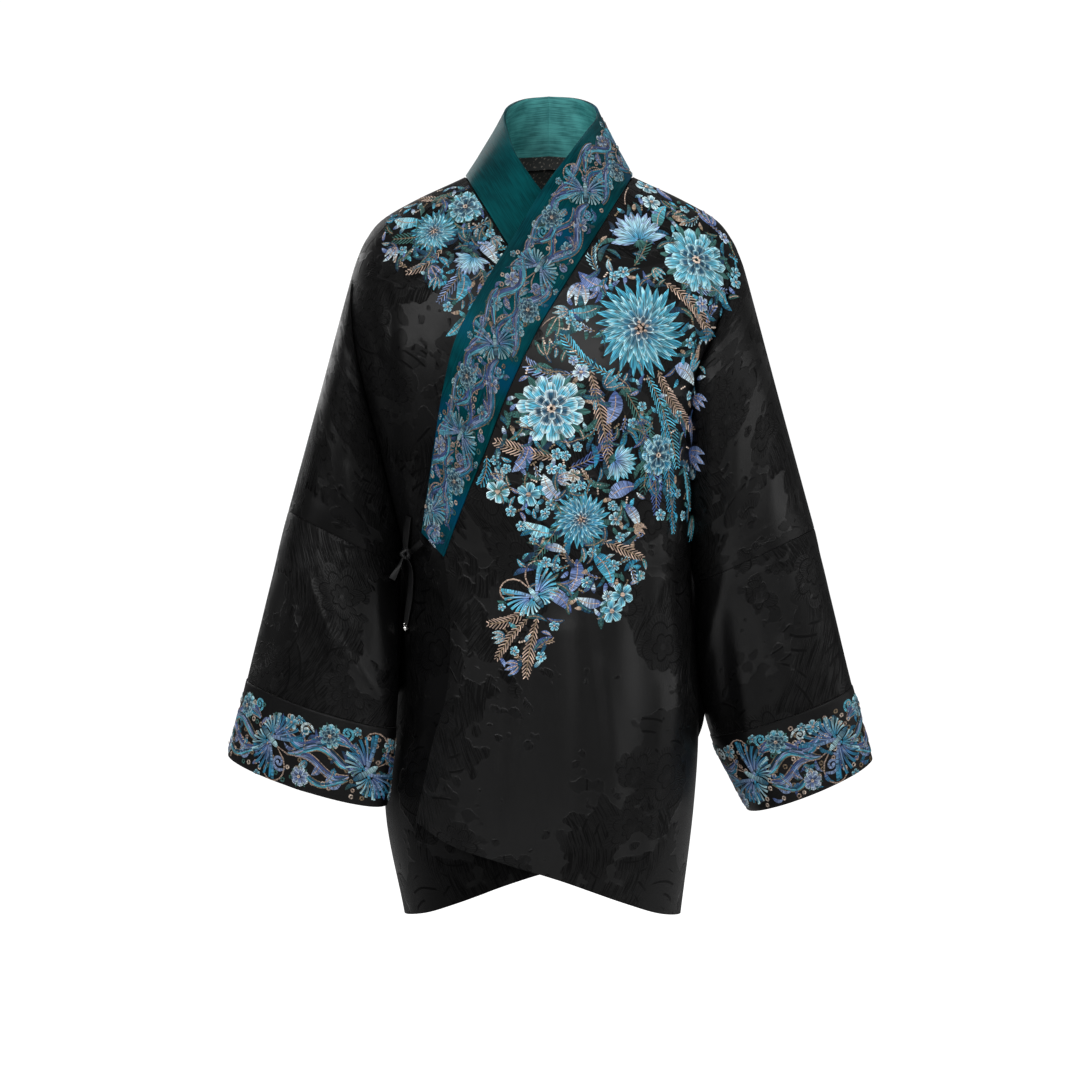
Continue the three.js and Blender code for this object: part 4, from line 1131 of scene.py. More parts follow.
def floss_material():
    material, shader, w = new_material(
        "silk_floss", Sheen_Weight=0.05, Sheen_Roughness=0.35, Sheen_Tint=(0.8, 0.9, 1, 1),
        Specular_IOR_Level=0.3,
    )
    dyed = w.tree.nodes.new("ShaderNodeVertexColor")
    dyed.layer_name = "floss"
    lay = w.tree.nodes.new("ShaderNodeUVMap")
    lay.uv_map = "thread"
    u, v = w.parts(lay.outputs[0])
    strand_relief_and_shade = w.math("SINE", w.math("MULTIPLY", u, 2 * math.pi / STRAND))
    wander = w.join(w.math("MULTIPLY", u, 750.0), w.math("MULTIPLY", v, 70.0))
    tone = w.texture("Noise", "Fac", wander, Scale=1.0, Detail=2.0)
    light = w.math("MULTIPLY_ADD", w.ramp(tone, 0.25, 0.75), 1.5, 0.12)
    # Painted shade: the colour darkens between the strands with the same wave as their relief.
    light = w.math("MULTIPLY", light, w.math("MULTIPLY_ADD", strand_relief_and_shade, 0.3, 0.9))
    shade = w.tree.nodes.new("ShaderNodeVectorMath")
    shade.operation = "SCALE"
    w.put(shade.inputs[0], dyed.outputs["Color"])
    w.put(shade.inputs["Scale"], light)
    w.put(shader.inputs["Base Color"], shade.outputs["Vector"])
    w.put(shader.inputs["Roughness"], w.math("MULTIPLY_ADD", tone, 0.25, 0.32))
    w.put(shader.inputs["Normal"], w.bump(strand_relief_and_shade, 0.5, 0.00035))
    return material


EMBROIDERY = floss_material()
print("finish of the stitches:", EMBROIDERY.name)

# %% [markdown]
# ## Grounds for the needle
# A motif is drawn flat, in millimetres, and its ground bends it onto the cloth. On a front the ground is the
# plane that touches the cloth at the motif's middle. On the collar and the cuffs it is the band itself, laid
# out straight: across or round it, and along it.


# %% Grounds
class Ground:
    """A part of the cloth with flat coordinates u and v; surface gives the point on the cloth at (u, v)."""

    def place(self, u, v):
        """Points on the cloth and the directions that stand out from it."""
        here = self.surface(u, v)
        du, dv = self.surface(u + 0.4, v) - here, self.surface(u, v + 0.4) - here
        normal = np.cross(du, dv) * self.outward
        return here, normal / (np.linalg.norm(normal, axis=-1, keepdims=True) + 1e-12)

    def face(self, u, v):
        """Turns the ground's normal so that at (u, v) it points to the front."""
        self.outward = 1
        ahead = self.place(np.array([float(u)]), np.array([float(v)]))[1][0, 1] < 0
        self.outward = 1 if ahead else -1
        self.turn = -1 if ahead else 1
        return self

    def allows(self, points):
        return True


SEAM_X = curve(*[(row[2], row[1]) for row in COLLAR_ROWS[3:]])  # the collar seam on a front, by height


class FrontGround(Ground):
    """A flat patch of a front, centred at (x, z); u runs to the wearer's left and v up."""

    def __init__(self, hand, x, z):
        self.hand, self.x, self.z = hand, x, z
        self.layer = "outer" if hand == "left" else "under"
        p = on_cloth(self.layer, [x, x + 1, x], [z, z, z + 1])
        across = (p[1] - p[0]) / np.linalg.norm(p[1] - p[0])
        up = p[2] - p[0] - across * np.dot(p[2] - p[0], across)
        up /= np.linalg.norm(up)
        self.axes = across, up
        self.face(0, 0)

    def surface(self, u, v):
        across, up = self.axes
        x = self.x + u * across[0] + v * up[0]
        z = self.z + u * across[2] + v * up[2]
        x = SIGN[self.hand] * np.clip(SIGN[self.hand] * x, SEAM_X(z) + 1.5, OUTLINE(z) - 2)
        return on_cloth(self.layer, x, z)

    def allows(self, points):
        """Whether a patch lies clear of the collar and of the outline for the most part."""
        x, z = points[:, 0] * SIGN[self.hand], points[:, 2]
        return np.mean(x < SEAM_X(z) + 2) < 0.35 and np.mean(x > OUTLINE(z) - 3) < 0.35


class CollarGround(Ground):
    """The collar laid straight; u runs from the seam to the free edge and v down from the centre back."""

    def __init__(self, hand):
        self.hand = hand
        rows = np.linspace(0, END_ROW, 800)
        middle = collar_points(hand, rows, 0.5)
        self.rows, self.reach = rows, lengths(middle[:, None], 0)[:, 0]
        self.widths = np.linalg.norm(collar_points(hand, rows, 1) - collar_points(hand, rows, 0), axis=-1)
        self.length = self.reach[-1]
        self.face(30, self.length - 90)

    def surface(self, u, v):
        row = np.interp(v, self.reach, self.rows)
        across = np.clip(u / np.interp(row, self.rows, self.widths), 0.02, 0.98)
        return collar_points(self.hand, row, across)


class CuffGround(Ground):
    """The cuff band laid straight; u runs round it from the inner fold and v down from its seam."""

    def __init__(self, hand):
        self.hand = hand
        turns = np.linspace(0, 2 * math.pi, 400)
        ring = sleeve_points(hand, 0.86, turns, CUFF_LIFT)
        self.turns, self.reach = turns, lengths(ring[:, None], 0)[:, 0]
        self.around = self.reach[-1]
        steps_down = sleeve_points(hand, np.linspace(CUFF_TOP, 1, 30), math.pi / 2, CUFF_LIFT)
        self.height = lengths(steps_down[:, None], 0)[-1, 0]
        self.face(self.around / 4, self.height / 2)

    def surface(self, u, v):
        turn = np.interp(np.mod(u, self.around), self.reach, self.turns)
        return sleeve_points(self.hand, CUFF_TOP + (1 - CUFF_TOP) * v / self.height, turn, CUFF_LIFT)


print("collar:", round(CollarGround("left").length), "mm long")
print("cuff:", round(CuffGround("right").around), "by", round(CuffGround("right").height), "mm")

# %% [markdown]
# ## Motifs
# Garden motifs of the common kind: camellias of round petals, chrysanthemums of narrow ones, a lotus, plum
# blossoms, leaves, ferns of separate barbs, curls, eyelet rings, butterflies and ribbons that wave. Each is a
# few lines that place patches round a centre, so that one can be changed without the others.

# %% Petals and leaves
chance = random.Random(5)  # seeded, so that every run sews the same stitches
SEPAL = np.array([1, 1, 0.9, 0.6, 0.2])  # widths along a sepal


def unit(angle):
    return np.array([math.cos(angle), math.sin(angle)])


def beside(centre, angle, far):
    return centre[0] + far * math.cos(angle), centre[1] + far * math.sin(angle)


def ray(centre, angle, near, far, bend=0.0, count=8):
    s = np.linspace(0, 1, count)
    r, a = mix(near, far, s), angle + bend * s
    return np.stack([centre[0] + r * np.cos(a), centre[1] + r * np.sin(a)], -1)


def round_petal(width, count=8):
    s = np.linspace(0, 1, count)
    return width * (0.3 + 0.7 * s**0.8) * np.sqrt(np.maximum(1 - s**5, 0.01))


def slim_petal(width, count=8):
    s = np.linspace(0, 1, count)
    return width * np.maximum(np.sin(np.pi * (0.12 + 0.86 * s**1.1)), 0.08)


def leaf_shape(width, count=9):
    s = np.linspace(0, 1, count)
    return width * np.maximum(np.sin(np.pi * s**0.8) ** 0.85, 0.05)


def arch(start, end, bend, count=9):
    """A curved line from start to end that bows out by bend times its length."""
    start, end = np.array(start, float), np.array(end, float)
    way = end - start
    s = np.linspace(0, 1, count)[:, None]
    return start + way * s + np.array([-way[1], way[0]]) * bend * np.sin(np.pi * s)


def camellia(n, g, centre, size, turn=0.0, petals=(10, 9, 7, 5), dyes=("teal", "turquoise", "pale")):
    for k in range(petals[0]):
        angle = turn + math.pi * (2 * k + 1) / petals[0]
        spine = ray(centre, angle, size * 0.6, size * 1.1, 0, 5)
        n.patch(g, spine, size * 0.13 * SEPAL, "green", "moss", rise=0.5, lift=0.15, cells=2)
    for ring, count in enumerate(petals):
        reach = size * (1 - 0.23 * ring)
        heart = ("navy", "teal", dyes[2]) if ring >= len(petals) - 2 and len(petals) > 2 else dyes
        for k in range(count):
            angle = turn + 0.7 * ring + 2 * math.pi * k / count
            spine = ray(centre, angle, reach * 0.22, reach * chance.uniform(0.95, 1.04), 0, 8)
            n.patch(g, spine, round_petal(math.pi * reach / count * 0.98), *heart,
                    rise=1.0, lift=0.25 + 0.5 * ring, cells=6)
    for k in range(7):
        knot(n, g, beside(centre, k * 0.9, size * 0.09), max(size * 0.045, 0.8), "cream", 2.2)


def chrysanthemum(n, g, centre, size, turn=0.0, dyes=("deep", "turquoise", "pale")):
    for ring, count in enumerate((26, 22, 17, 12, 8)):
        reach = size * (1 - 0.18 * ring)
        tones = ("moss", "mid", "turquoise"), dyes, dyes, ("navy", "mid", dyes[2]), ("navy", "teal", "ice")
        for k in range(count):
            angle = turn + 0.5 * ring + 2 * math.pi * (k + chance.uniform(-0.15, 0.15)) / count
            spine = ray(centre, angle, reach * 0.3, reach * chance.uniform(0.9, 1.06), 0.16, 8)
            half = slim_petal(math.pi * reach / count * 0.72)
            n.patch(g, spine, half, *tones[ring], rise=0.9, lift=0.2 + 0.42 * ring)
    for k in range(9):
        spot = beside(centre, k * 2.4, size * 0.05 * math.sqrt(k))
        knot(n, g, spot, max(size * 0.035, 0.9), "beige", 2.3)


def lotus(n, g, centre, size, turn=math.pi / 2, dyes=("mid", "pale", "lavender")):
    for layer, (count, spread, reach) in enumerate(((7, 1.35, 1.0), (6, 0.95, 0.94), (3, 0.42, 0.8))):
        for k in range(count):
            share = 2 * k / (count - 1) - 1
            angle = turn + spread * share
            spine = ray(centre, angle, size * 0.05, size * reach * (1 - 0.12 * share**2), 0.18 * share, 9)
            n.patch(g, spine, leaf_shape(size * 0.17), *dyes, rise=1.1, lift=0.25 + 0.5 * layer)
    for k in range(7):
        spine = ray(centre, turn + math.pi + 0.3 * (k - 3), 0, size * 0.3, 0, 5)
        n.patch(g, spine, slim_petal(size * 0.05, 5), "moss", "green", None, rise=0.7, lift=0.6)


def blossom(n, g, centre, size, turn=0.0, dyes=("mid", "turquoise", "ice"), petals=5):
    for k in range(petals):
        spine = ray(centre, turn + 2 * math.pi * k / petals, size * 0.15, size, 0, 6)
        n.patch(g, spine, round_petal(math.pi * size / petals * 0.8, 6), *dyes, rise=0.9, lift=0.3)
    knot(n, g, centre, size * 0.2, "beige", 1.2)


def knot(n, g, centre, size, colour, lift=0.6):
    spine = ray(centre, 0, -size, size, 0, 5)
    half = size * np.sqrt(np.maximum(1 - np.linspace(-1, 1, 5) ** 2, 0.04))
    n.patch(g, spine, half, colour, rise=size * 0.6, lift=lift, cells=3)


def leaf(n, g, start, end, width, colour, tip=None, bend=0.12, vein="beige"):
    spine = arch(start, end, bend)
    n.patch(g, spine, leaf_shape(width), colour, tip or colour, None, rise=0.8, lift=0.2, run="across")
    if vein:
        n.patch(g, spine[1:-1], 0.5, vein, rise=0.4, lift=0.95, run="across", cells=2)


def fern(n, g, start, end, reach, colour, bend=0.12, tip=None, spacing=4.2):
    spine = arch(start, end, bend, 24)
    total = np.linalg.norm(np.diff(spine, axis=0), axis=1).sum()
    way = np.gradient(spine, axis=0)
    for k in range(int(total / spacing)):
        s = (k + 0.6) * spacing / total
        at = min(int(s * 23), 23)
        base = mix(spine[min(at, 22)], spine[min(at, 22) + 1], s * 23 - min(at, 22))
        heading = math.atan2(way[at][1], way[at][0])
        long = reach * math.sin(math.pi * (0.12 + 0.8 * s)) * chance.uniform(0.88, 1.08)
        for side in (-1, 1):
            barb = ray(base, heading + side * 0.85, 0.6, long, -side * 0.2, 4)
            n.patch(g, barb, 0.58, colour, tip or colour, None, rise=0.7, lift=0.2, cells=2)
    n.patch(g, spine[::3], 0.6, "gold", rise=0.6, lift=0.4, run="across", cells=2)


print("a petal's widths:", np.round(round_petal(5.0), 1))

# %% [markdown]
# ## Motifs that follow a line
# Curls, eyelet rings and waving ribbons are couched: a thread is laid along a line and stitched down. Their
# threads run across the patch. A butterfly is made of them too, with wings of parallel bars.

# %% Curls, rings, ribbons and wings
def curl(n, g, start, size, heading, hand, colour, width=1.3, turns=1.3, count=24):
    """A line that runs out for a while and winds into an open spiral; size is the spiral's radius."""
    t = np.linspace(0, 1, count)
    first = heading - hand * math.pi / 2
    lead = unit(heading) * size * 0.8
    centre = np.asarray(start, float) + lead - size * np.array([math.cos(first), math.sin(first)])
    angle = first + hand * 2 * math.pi * turns * t
    radius = size * (1 - 0.82 * t**0.85)
    spiral = centre + radius[:, None] * np.stack([np.cos(angle), np.sin(angle)], -1)
    spine = np.concatenate([[start, np.asarray(start) + lead * 0.5], spiral])
    half = width * np.concatenate([[0.4, 0.8], 1 - 0.3 * t])
    n.patch(g, spine, half, colour, rise=0.7, lift=0.3, run="across", cells=3)
    knot(n, g, spiral[-1], width * 1.25, colour, 0.4)


def ring(n, g, centre, size=2.3, colour="beige"):
    angle = np.linspace(0, 2 * math.pi, 11)
    spine = np.stack([centre[0] + size * np.cos(angle), centre[1] + size * np.sin(angle)], -1)
    n.patch(g, spine, 0.75, colour, rise=0.6, lift=0.4, run="across", cells=2)


def wave(n, g, spine, width, dyes=("violet", "lavender", "turquoise"), edge="gold"):
    """A ribbon of parallel bands between two fine outlines."""
    spine = np.asarray(spine, float)
    way = np.gradient(spine, axis=0)
    side = np.stack([-way[:, 1], way[:, 0]], -1) / np.linalg.norm(way, axis=1, keepdims=True)
    taper = np.minimum(1, np.minimum(np.linspace(0, 6, len(spine)), np.linspace(4, 0, len(spine))) + 0.25)
    band = width * 2 / len(dyes)
    for k, colour in enumerate(dyes):
        offset = (k - (len(dyes) - 1) / 2) * band
        line = spine + side * (offset * taper)[:, None]
        n.patch(g, line, band * 0.52 * taper, colour, rise=0.8, lift=0.3, cells=3)
    for sign in (-1, 1):
        line = spine + side * (sign * (width + 0.7) * taper)[:, None]
        n.patch(g, line, 0.5, edge, rise=0.4, lift=0.3, run="across", cells=2)


def wing(n, g, root, heading, reach, spread, bars=7, dyes=("violet", "lavender", "turquoise"), bend=0.35):
    """A fan of parallel bars that bow the same way, under one arched bar."""
    for k in range(bars):
        share = k / (bars - 1)
        angle = heading + spread * (share - 0.5)
        long = reach * (1 - 0.42 * share)
        spine = ray(root, angle, reach * 0.16, long, bend * (0.4 + share), 7)
        half = reach * spread / bars * 0.3 * np.linspace(0.5, 1.1, 7)
        n.patch(g, spine, half, dyes[k % 2], dyes[2], rise=0.8, lift=0.4, cells=3)
    spine = ray(root, heading - spread * 0.62, 0, reach * 1.05, bend * 0.5, 8)
    n.patch(g, spine, reach * 0.05, *dyes[1:], rise=0.9, lift=0.5, run="across", cells=3)


def butterfly(n, g, centre, size, turn, dyes=("violet", "lavender", "turquoise")):
    """Two large and two small wings of bars, a banded body and curled feelers."""
    ahead = unit(turn)
    centre = np.array(centre, float)
    for side in (-1, 1):
        root = centre + side * 0.06 * size * np.array([-ahead[1], ahead[0]])
        wing(n, g, root, turn + side * 1.15, size, side * 0.95, 7, dyes, bend=side * 0.3)
        low_dyes = dyes[2], "mid", "pale"
        wing(n, g, root, turn + side * 2.2, size * 0.68, side * 0.8, 5, low_dyes, bend=side * 0.3)
        curl(n, g, centre + ahead * size * 0.3, size * 0.5, turn + side * 0.25, side, "beige", 0.8, 0.9, 14)
        spot = centre + ray((0, 0), turn + side * 1.25, 0, size * 1.12, 0, 2)[1]
        blossom(n, g, spot, size * 0.13, 0, ("teal", "turquoise", "pale"))
    body = np.stack([centre + ahead * size * s for s in np.linspace(-0.42, 0.34, 8)])
    half = size * 0.085 * np.array([0.4, 0.8, 1, 1, 0.8, 0.9, 0.9, 0.4])
    n.patch(g, body, half, "teal", "pale", rise=1.6, lift=0.8, run="across")


print("motifs are ready")

# %% [markdown]
# ## The wearer's left front
# The largest spray climbs from the waist to the shoulder: two large heads, a lotus and smaller blossoms, with
# ferns and leaves between them so that little ground shows. The heads go on last, over their leaves.

# %% What fills the gaps of a spray
UNDERGROWTH = [
    ("green", "moss"), ("deep", "teal"), ("navy", "deep"), ("green", "deep"), ("teal", "mid"),
    ("deep", "violet"), ("green", "teal"),
]
PAIRS = [
    ("violet", "lavender"), ("violet", "ice"), ("mid", "turquoise"), ("gold", "beige"),
    ("moss", "turquoise"), ("green", "moss"), ("teal", "pale"), ("deep", "turquoise"),
]


def filler(n, g, size, away):
    """A sprig, leaf, blossom, curl or eyelet ring as large as its place."""
    root, tip = chance.choice(PAIRS)
    pick = chance.random()
    line = unit(away)
    if size > 8 and pick < 0.45:
        for k in (-1, 0, 1):
            turned = ray((0, 0), away + 0.62 * k, 0, size * 1.15, 0, 2)[1]
            leaf(n, g, -line * size * 0.75, turned, size * 0.3, root, tip, 0.1 * k)
    elif size > 7 and pick < 0.62:
        fern(n, g, -line * size, line * size * 1.15, size * 0.62, root, 0.1, tip, 3.8)
    elif size > 6 and pick < 0.82:
        dyes = ("teal", "turquoise", "pale") if pick < 0.7 else (root, tip, "ice")
        blossom(n, g, (0, 0), size * 0.85, away, dyes)
    elif size > 5.5:
        leaf(n, g, -line * size * 0.9, line * size * 1.1, size * 0.36, root, tip, 0.1)
    elif pick < 0.75:
        leaf(n, g, -line * 4.5, line * 5.5, 2.2, root, tip, 0.1, None)
    else:
        for k in range(3):
            knot(n, g, line * (2.6 * k - 2.6), 1.1, "cream" if pick < 0.9 else "gold", 0.4)


def within(outline, x, z):
    """Whether a point lies inside a closed outline, by counting the edges to its right."""
    inside = False
    for (x0, z0), (x1, z1) in zip(outline, outline[1:] + outline[:1]):
        if (z0 > z) != (z1 > z) and x < x0 + (z - z0) / (z1 - z0) * (x1 - x0):
            inside = not inside
    return inside


def anywhere(outline):
    """A random point in the rectangle round an outline."""
    x, z = zip(*outline)
    return chance.uniform(min(x), max(x)), chance.uniform(min(z), max(z))


print("floss for leaves and gaps:", len(UNDERGROWTH), len(PAIRS))

# %% A spray: undergrowth, ferns, leaves, small motifs and heads
TRIES, LEAST_ROOM, LARGEST_FILLER = 9000, 2.6, 15


def laid(hand, x0, z0, x1, z1):
    """The ground halfway between two points, and half the way from one to the other."""
    return FrontGround(hand, (x0 + x1) / 2, (z0 + z1) / 2), np.array([x1 - x0, z1 - z0]) / 2


def spray(n, hand, outline, ferns, leaves, heads, undergrowth):
    """Sews the listed motifs, and small ones in the free places inside the outline."""
    for _ in range(undergrowth):
        x, z = anywhere(outline)
        if within(outline, x, z):
            away, long = chance.uniform(0, 2 * math.pi), chance.uniform(7, 13)
            line = long * unit(away)
            colours = chance.choice(UNDERGROWTH)
            vein = chance.choice(["gold", None, "moss"])
            leaf(n, FrontGround(hand, x, z), -line, line, long * 0.26, *colours, 0.14, vein)
    taken = []  # x, z and radius of what is sewn
    for x0, z0, x1, z1, reach, colour in ferns:
        g, half = laid(hand, x0, z0, x1, z1)
        fern(n, g, -half, half, reach, colour, chance.uniform(-0.15, 0.15))
        taken += [(mix(x0, x1, t), mix(z0, z1, t), reach * 0.75) for t in (0.2, 0.5, 0.8)]
    for x0, z0, x1, z1, width, root, tip in leaves:
        g, half = laid(hand, x0, z0, x1, z1)
        leaf(n, g, -half, half, width, root, tip)
        taken += [(mix(x0, x1, t), mix(z0, z1, t), width) for t in (0.3, 0.7)]
    taken += [(x, z, size * 0.95) for x, z, size, *_ in heads]
    for _ in range(TRIES):
        x, z = anywhere(outline)
        if not within(outline, x, z):
            continue
        room, nearest = min((math.hypot(x - a, z - b) - r, k) for k, (a, b, r) in enumerate(taken))
        if room < LEAST_ROOM:
            continue
        size = min(room * 1.35, LARGEST_FILLER)
        away = math.atan2(z - taken[nearest][1], x - taken[nearest][0]) + chance.uniform(-0.5, 0.5)
        filler(n, FrontGround(hand, x, z), size, away)
        taken.append((x, z, size * 0.6))
    for x, z, size, motif, *rest in heads:
        motif(n, FrontGround(hand, x, z), (0, 0), size, *rest)


print("a spray's gaps are tried", TRIES, "times")

# %% [markdown]
# ## Where the chest spray lies
# Its outline holds all of it. Ferns and leaves are placed one by one, as long rays from the heads, and the
# heads
# where the eye should rest: each row is a place, a size and the motif with its own turn, petals and floss.

# %% The chest spray
CHEST = [
    (84, -8), (120, -4), (158, -17), (198, -80), (193, -122), (160, -168), (152, -246), (149, -360),
    (120, -356), (84, -318), (98, -404), (58, -452), (16, -438), (-16, -512), (-52, -500), (-50, -428),
    (-14, -376), (-50, -334), (-74, -300), (-55, -226), (0, -160), (14, -130), (46, -84),
]
CHEST_FERNS = [  # x, z of the root, x, z of the tip, reach, colour
    (92, -205, 138, -300, 14, "turquoise"), (100, -200, 160, -262, 13, "beige"),
    (70, -215, 96, -330, 14, "moss"), (60, -205, 12, -160, 12, "turquoise"),
    (110, -240, 132, -362, 12, "mid"), (86, -250, 112, -350, 12, "violet"),
    (40, -200, 62, -300, 13, "beige"), (28, -205, -32, -186, 11, "lavender"),
    (126, -290, 158, -344, 10, "turquoise"), (6, -290, -58, -272, 12, "beige"),
    (20, -300, 66, -262, 12, "violet"), (24, -330, -20, -398, 10, "moss"),
    (50, -372, 98, -392, 10, "beige"), (-18, -440, -66, -458, 10, "beige"),
    (-12, -450, -24, -516, 10, "beige"), (-20, -452, -56, -496, 9, "beige"),
    (118, -110, 166, -168, 11, "beige"), (84, -96, 104, -40, 10, "moss"),
    (130, -110, 190, -116, 10, "lavender"),
]
CHEST_LEAVES = [  # x, z of the root, x, z of the tip, half width, root and tip colours
    (60, -118, 30, -100, 8, "lavender", "violet"), (52, -136, 16, -142, 7, "green", "turquoise"),
    (122, -196, 154, -214, 8, "lavender", "ice"), (66, -222, 58, -256, 8, "violet", "lavender"),
    (-28, -226, -50, -204, 8, "lavender", "ice"), (-30, -250, -66, -252, 8, "teal", "pale"),
    (-20, -276, -38, -304, 7, "violet", "lavender"), (60, -330, 90, -318, 8, "lavender", "violet"),
    (12, -332, -6, -306, 8, "lavender", "ice"), (44, -386, 64, -420, 8, "mid", "turquoise"),
    (28, -392, 18, -428, 7, "violet", "lavender"), (4, -366, -26, -354, 7, "turquoise", "pale"),
    (108, -54, 124, -26, 7, "moss", "turquoise"), (160, -110, 186, -134, 7, "green", "turquoise"),
    (-4, -424, 22, -446, 7, "lavender", "violet"), (134, -246, 156, -276, 7, "violet", "lavender"),
]
CHEST_HEADS = [  # x, z, size, motif and its own values
    (110, -286, 22, camellia, 0.9, (8, 7, 5), ("teal", "mid", "pale")),
    (66, -292, 24, lotus, -0.4, ("violet", "pale", "turquoise")),
    (92, -158, 50, chrysanthemum),
    (150, -86, 37, camellia, 0.4, (11, 10, 8, 6), ("teal", "turquoise", "pale")),
    (92, -66, 34, lotus, 1.75), (2, -240, 36, camellia, 0.2, (11, 9, 7, 5), ("mid", "turquoise", "ice")),
    (32, -352, 30, chrysanthemum, 0.3, ("teal", "mid", "pale")), (-14, -430, 32, butterfly, 2.2),
]
needle = Needle(1.45)
spray(needle, "left", CHEST, CHEST_FERNS, CHEST_LEAVES, CHEST_HEADS, 448)
chest_embroidery = needle.sew("embroidery_left_front", "black_silk")

# %% [markdown]
# ## The spray on the right shoulder
# It is smaller and hangs from the neck point. Its floss is made a little darker, as painted shade on the
# front that lies behind.

# %% The spray on the wearer's right shoulder
SHOULDER = [
    (-82, -6), (-128, -8), (-170, -40), (-172, -80), (-120, -104), (-92, -158), (-60, -156), (-36, -104),
    (-52, -70), (-70, -36),
]
SHOULDER_FERNS = [
    (-120, -60, -166, -62, 10, "moss"), (-110, -72, -146, -100, 10, "beige"),
    (-84, -90, -112, -132, 10, "lavender"), (-70, -92, -80, -160, 9, "beige"),
    (-62, -90, -44, -124, 8, "turquoise"), (-100, -20, -140, -16, 8, "beige"),
]
SHOULDER_LEAVES = [
    (-74, -66, -54, -92, 7, "lavender", "ice"), (-130, -44, -164, -38, 7, "turquoise", "pale"),
    (-88, -100, -94, -132, 7, "mid", "turquoise"), (-62, -104, -58, -140, 7, "violet", "lavender"),
]
SHOULDER_HEADS = [
    (-118, -56, 26, chrysanthemum, 0.2), (-86, -30, 19, camellia, 0.2, (9, 7, 5)),
    (-78, -84, 22, lotus, -1.9, ("mid", "pale", "lavender")),
]
# Floss toned down from the chest's: painted shade for the front that lies behind.
needle = Needle(1.15)
spray(needle, "right", SHOULDER, SHOULDER_FERNS, SHOULDER_LEAVES, SHOULDER_HEADS, 179)
shoulder_embroidery = needle.sew("embroidery_right_shoulder", "black_silk")

# %% [markdown]
# ## The collar border
# The borders are fuller and smaller in scale. Along the collar, waving ribbons, butterflies, blossoms and
# curls repeat about every ten centimetres. Each repeat mirrors the one before, so that the border sways.
# Eyelet rings and small leaves lie under them in uneven places.

# %% The collar border
REPEAT = 96.0
BORDER_LEAVES = [
    ("violet", "lavender"), ("deep", "violet"), ("teal", "mid"), ("violet", "mid"), ("green", "teal"),
]
COLLAR_WAVES = [  # start, stop, place across, sway, mirrored, waves, phase, half width, floss, outline
    (20, 104, 19, 8, True, 1.2, 0.6, 4.4, ("violet", "lavender", "mid"), "gold"),
    (14, 92, 48, -8, True, 1.3, 1.8, 3.6, ("violet", "turquoise"), "gold"),
    (34, 110, 34, 5, True, 1.7, 3.0, 2.0, ("mid", "violet"), "beige"),
    (-4, 34, 56, 3, False, 0.9, 2.0, 1.8, ("violet", "lavender"), "beige"),
    (60, 112, 57, 3, False, 0.9, 0.4, 2.0, ("lavender", "mid"), "gold"),
]
COLLAR_CURLS = [  # across, along, radius, heading, how much a mirrored one turns, hand, floss
    (-8, 34, 6.5, 1.5, 1.2, 1, "lavender"), (8, 80, 6.5, 1.5, -1.2, -1, "turquoise"),
    (18, 36, 5.5, 0.6, 0, 1, "lavender"), (-22, 24, 5, 1.8, 0, -1, "turquoise"),
    (-6, 90, 5, 2.4, 0, 1, "lavender"), (20, 74, 4.5, 0.9, 0, -1, "pale"),
    (-20, 92, 4.5, 2.0, 0, 1, "lavender"), (2, 50, 4.5, 1.2, 0, -1, "turquoise"),
]
COLLAR_LEAVES = [(-12, 62, 2.6), (14, 84, 0.4), (-20, 60, 1.9), (6, 40, 1.2), (20, 28, 1.0)]
LEAF_PAIRS = ("violet", "lavender"), ("mid", "pale")


def scatter(n, g, wide, long, count, apart):
    """Eyelet rings in uneven places, none closer together than apart."""
    taken = []
    for _ in range(count * 30):
        spot = (chance.uniform(*wide), chance.uniform(*long))
        if all(math.hypot(spot[0] - o[0], spot[1] - o[1]) > apart for o in taken):
            taken.append(spot)
            ring(n, g, spot, chance.uniform(1.5, 2.1), chance.choice(["beige", "cream", "gold", "moss"]))
        if len(taken) == count:
            break


def strew(n, g, wide, long, count, sizes, half):
    """Small leaves that point anywhere."""
    for _ in range(count):
        u, v, away = chance.uniform(*wide), chance.uniform(*long), chance.uniform(0, 6.28)
        line = chance.uniform(*sizes) * unit(away)
        leaf(n, g, (u, v) - line, (u, v) + line, half, *chance.choice(BORDER_LEAVES), 0.2, None)


def collar_waves(n, g, place, end, side):
    for start, stop, middle, sway, mirrored, waves, phase, half, floss, edge in COLLAR_WAVES:
        start, stop = place + start, place + stop
        sway = sway * side if mirrored else sway
        v = np.linspace(start, min(stop, end), 44)
        u = middle + sway * np.sin(2 * math.pi * waves * (v - start) / (stop - start) + phase)
        wave(n, g, np.stack([np.clip(u, 6, 62), v], -1), half, floss, edge)


def collar_repeat(n, g, place, end, side):
    collar_waves(n, g, place, end, side)
    butterfly(n, g, (33, place + 12), 29, -1.2 * side + 0.3)
    camellia(n, g, (34 + 15 * side, place + 58), 13, place, (8, 7, 5), ("deep", "mid", "pale"))
    blossom(n, g, (35 - 16 * side, place + 44), 8.5, place, ("violet", "lavender", "ice"))
    blossom(n, g, (35 - 17 * side, place + 74), 7.5, place + 1, ("teal", "turquoise", "pale"))
    for u, v, radius, heading, lean, hand, colour in COLLAR_CURLS:
        curl(n, g, (35 + u * side, place + v), radius, heading + lean * side, hand * side, colour, 1.15)
    for k, (u, v, angle) in enumerate(COLLAR_LEAVES):
        root = np.array([35 + u * side, place + v])
        leaf(n, g, root, root + 14 * unit(angle), 3.6, *LEAF_PAIRS[k % 2], 0.12 * side)


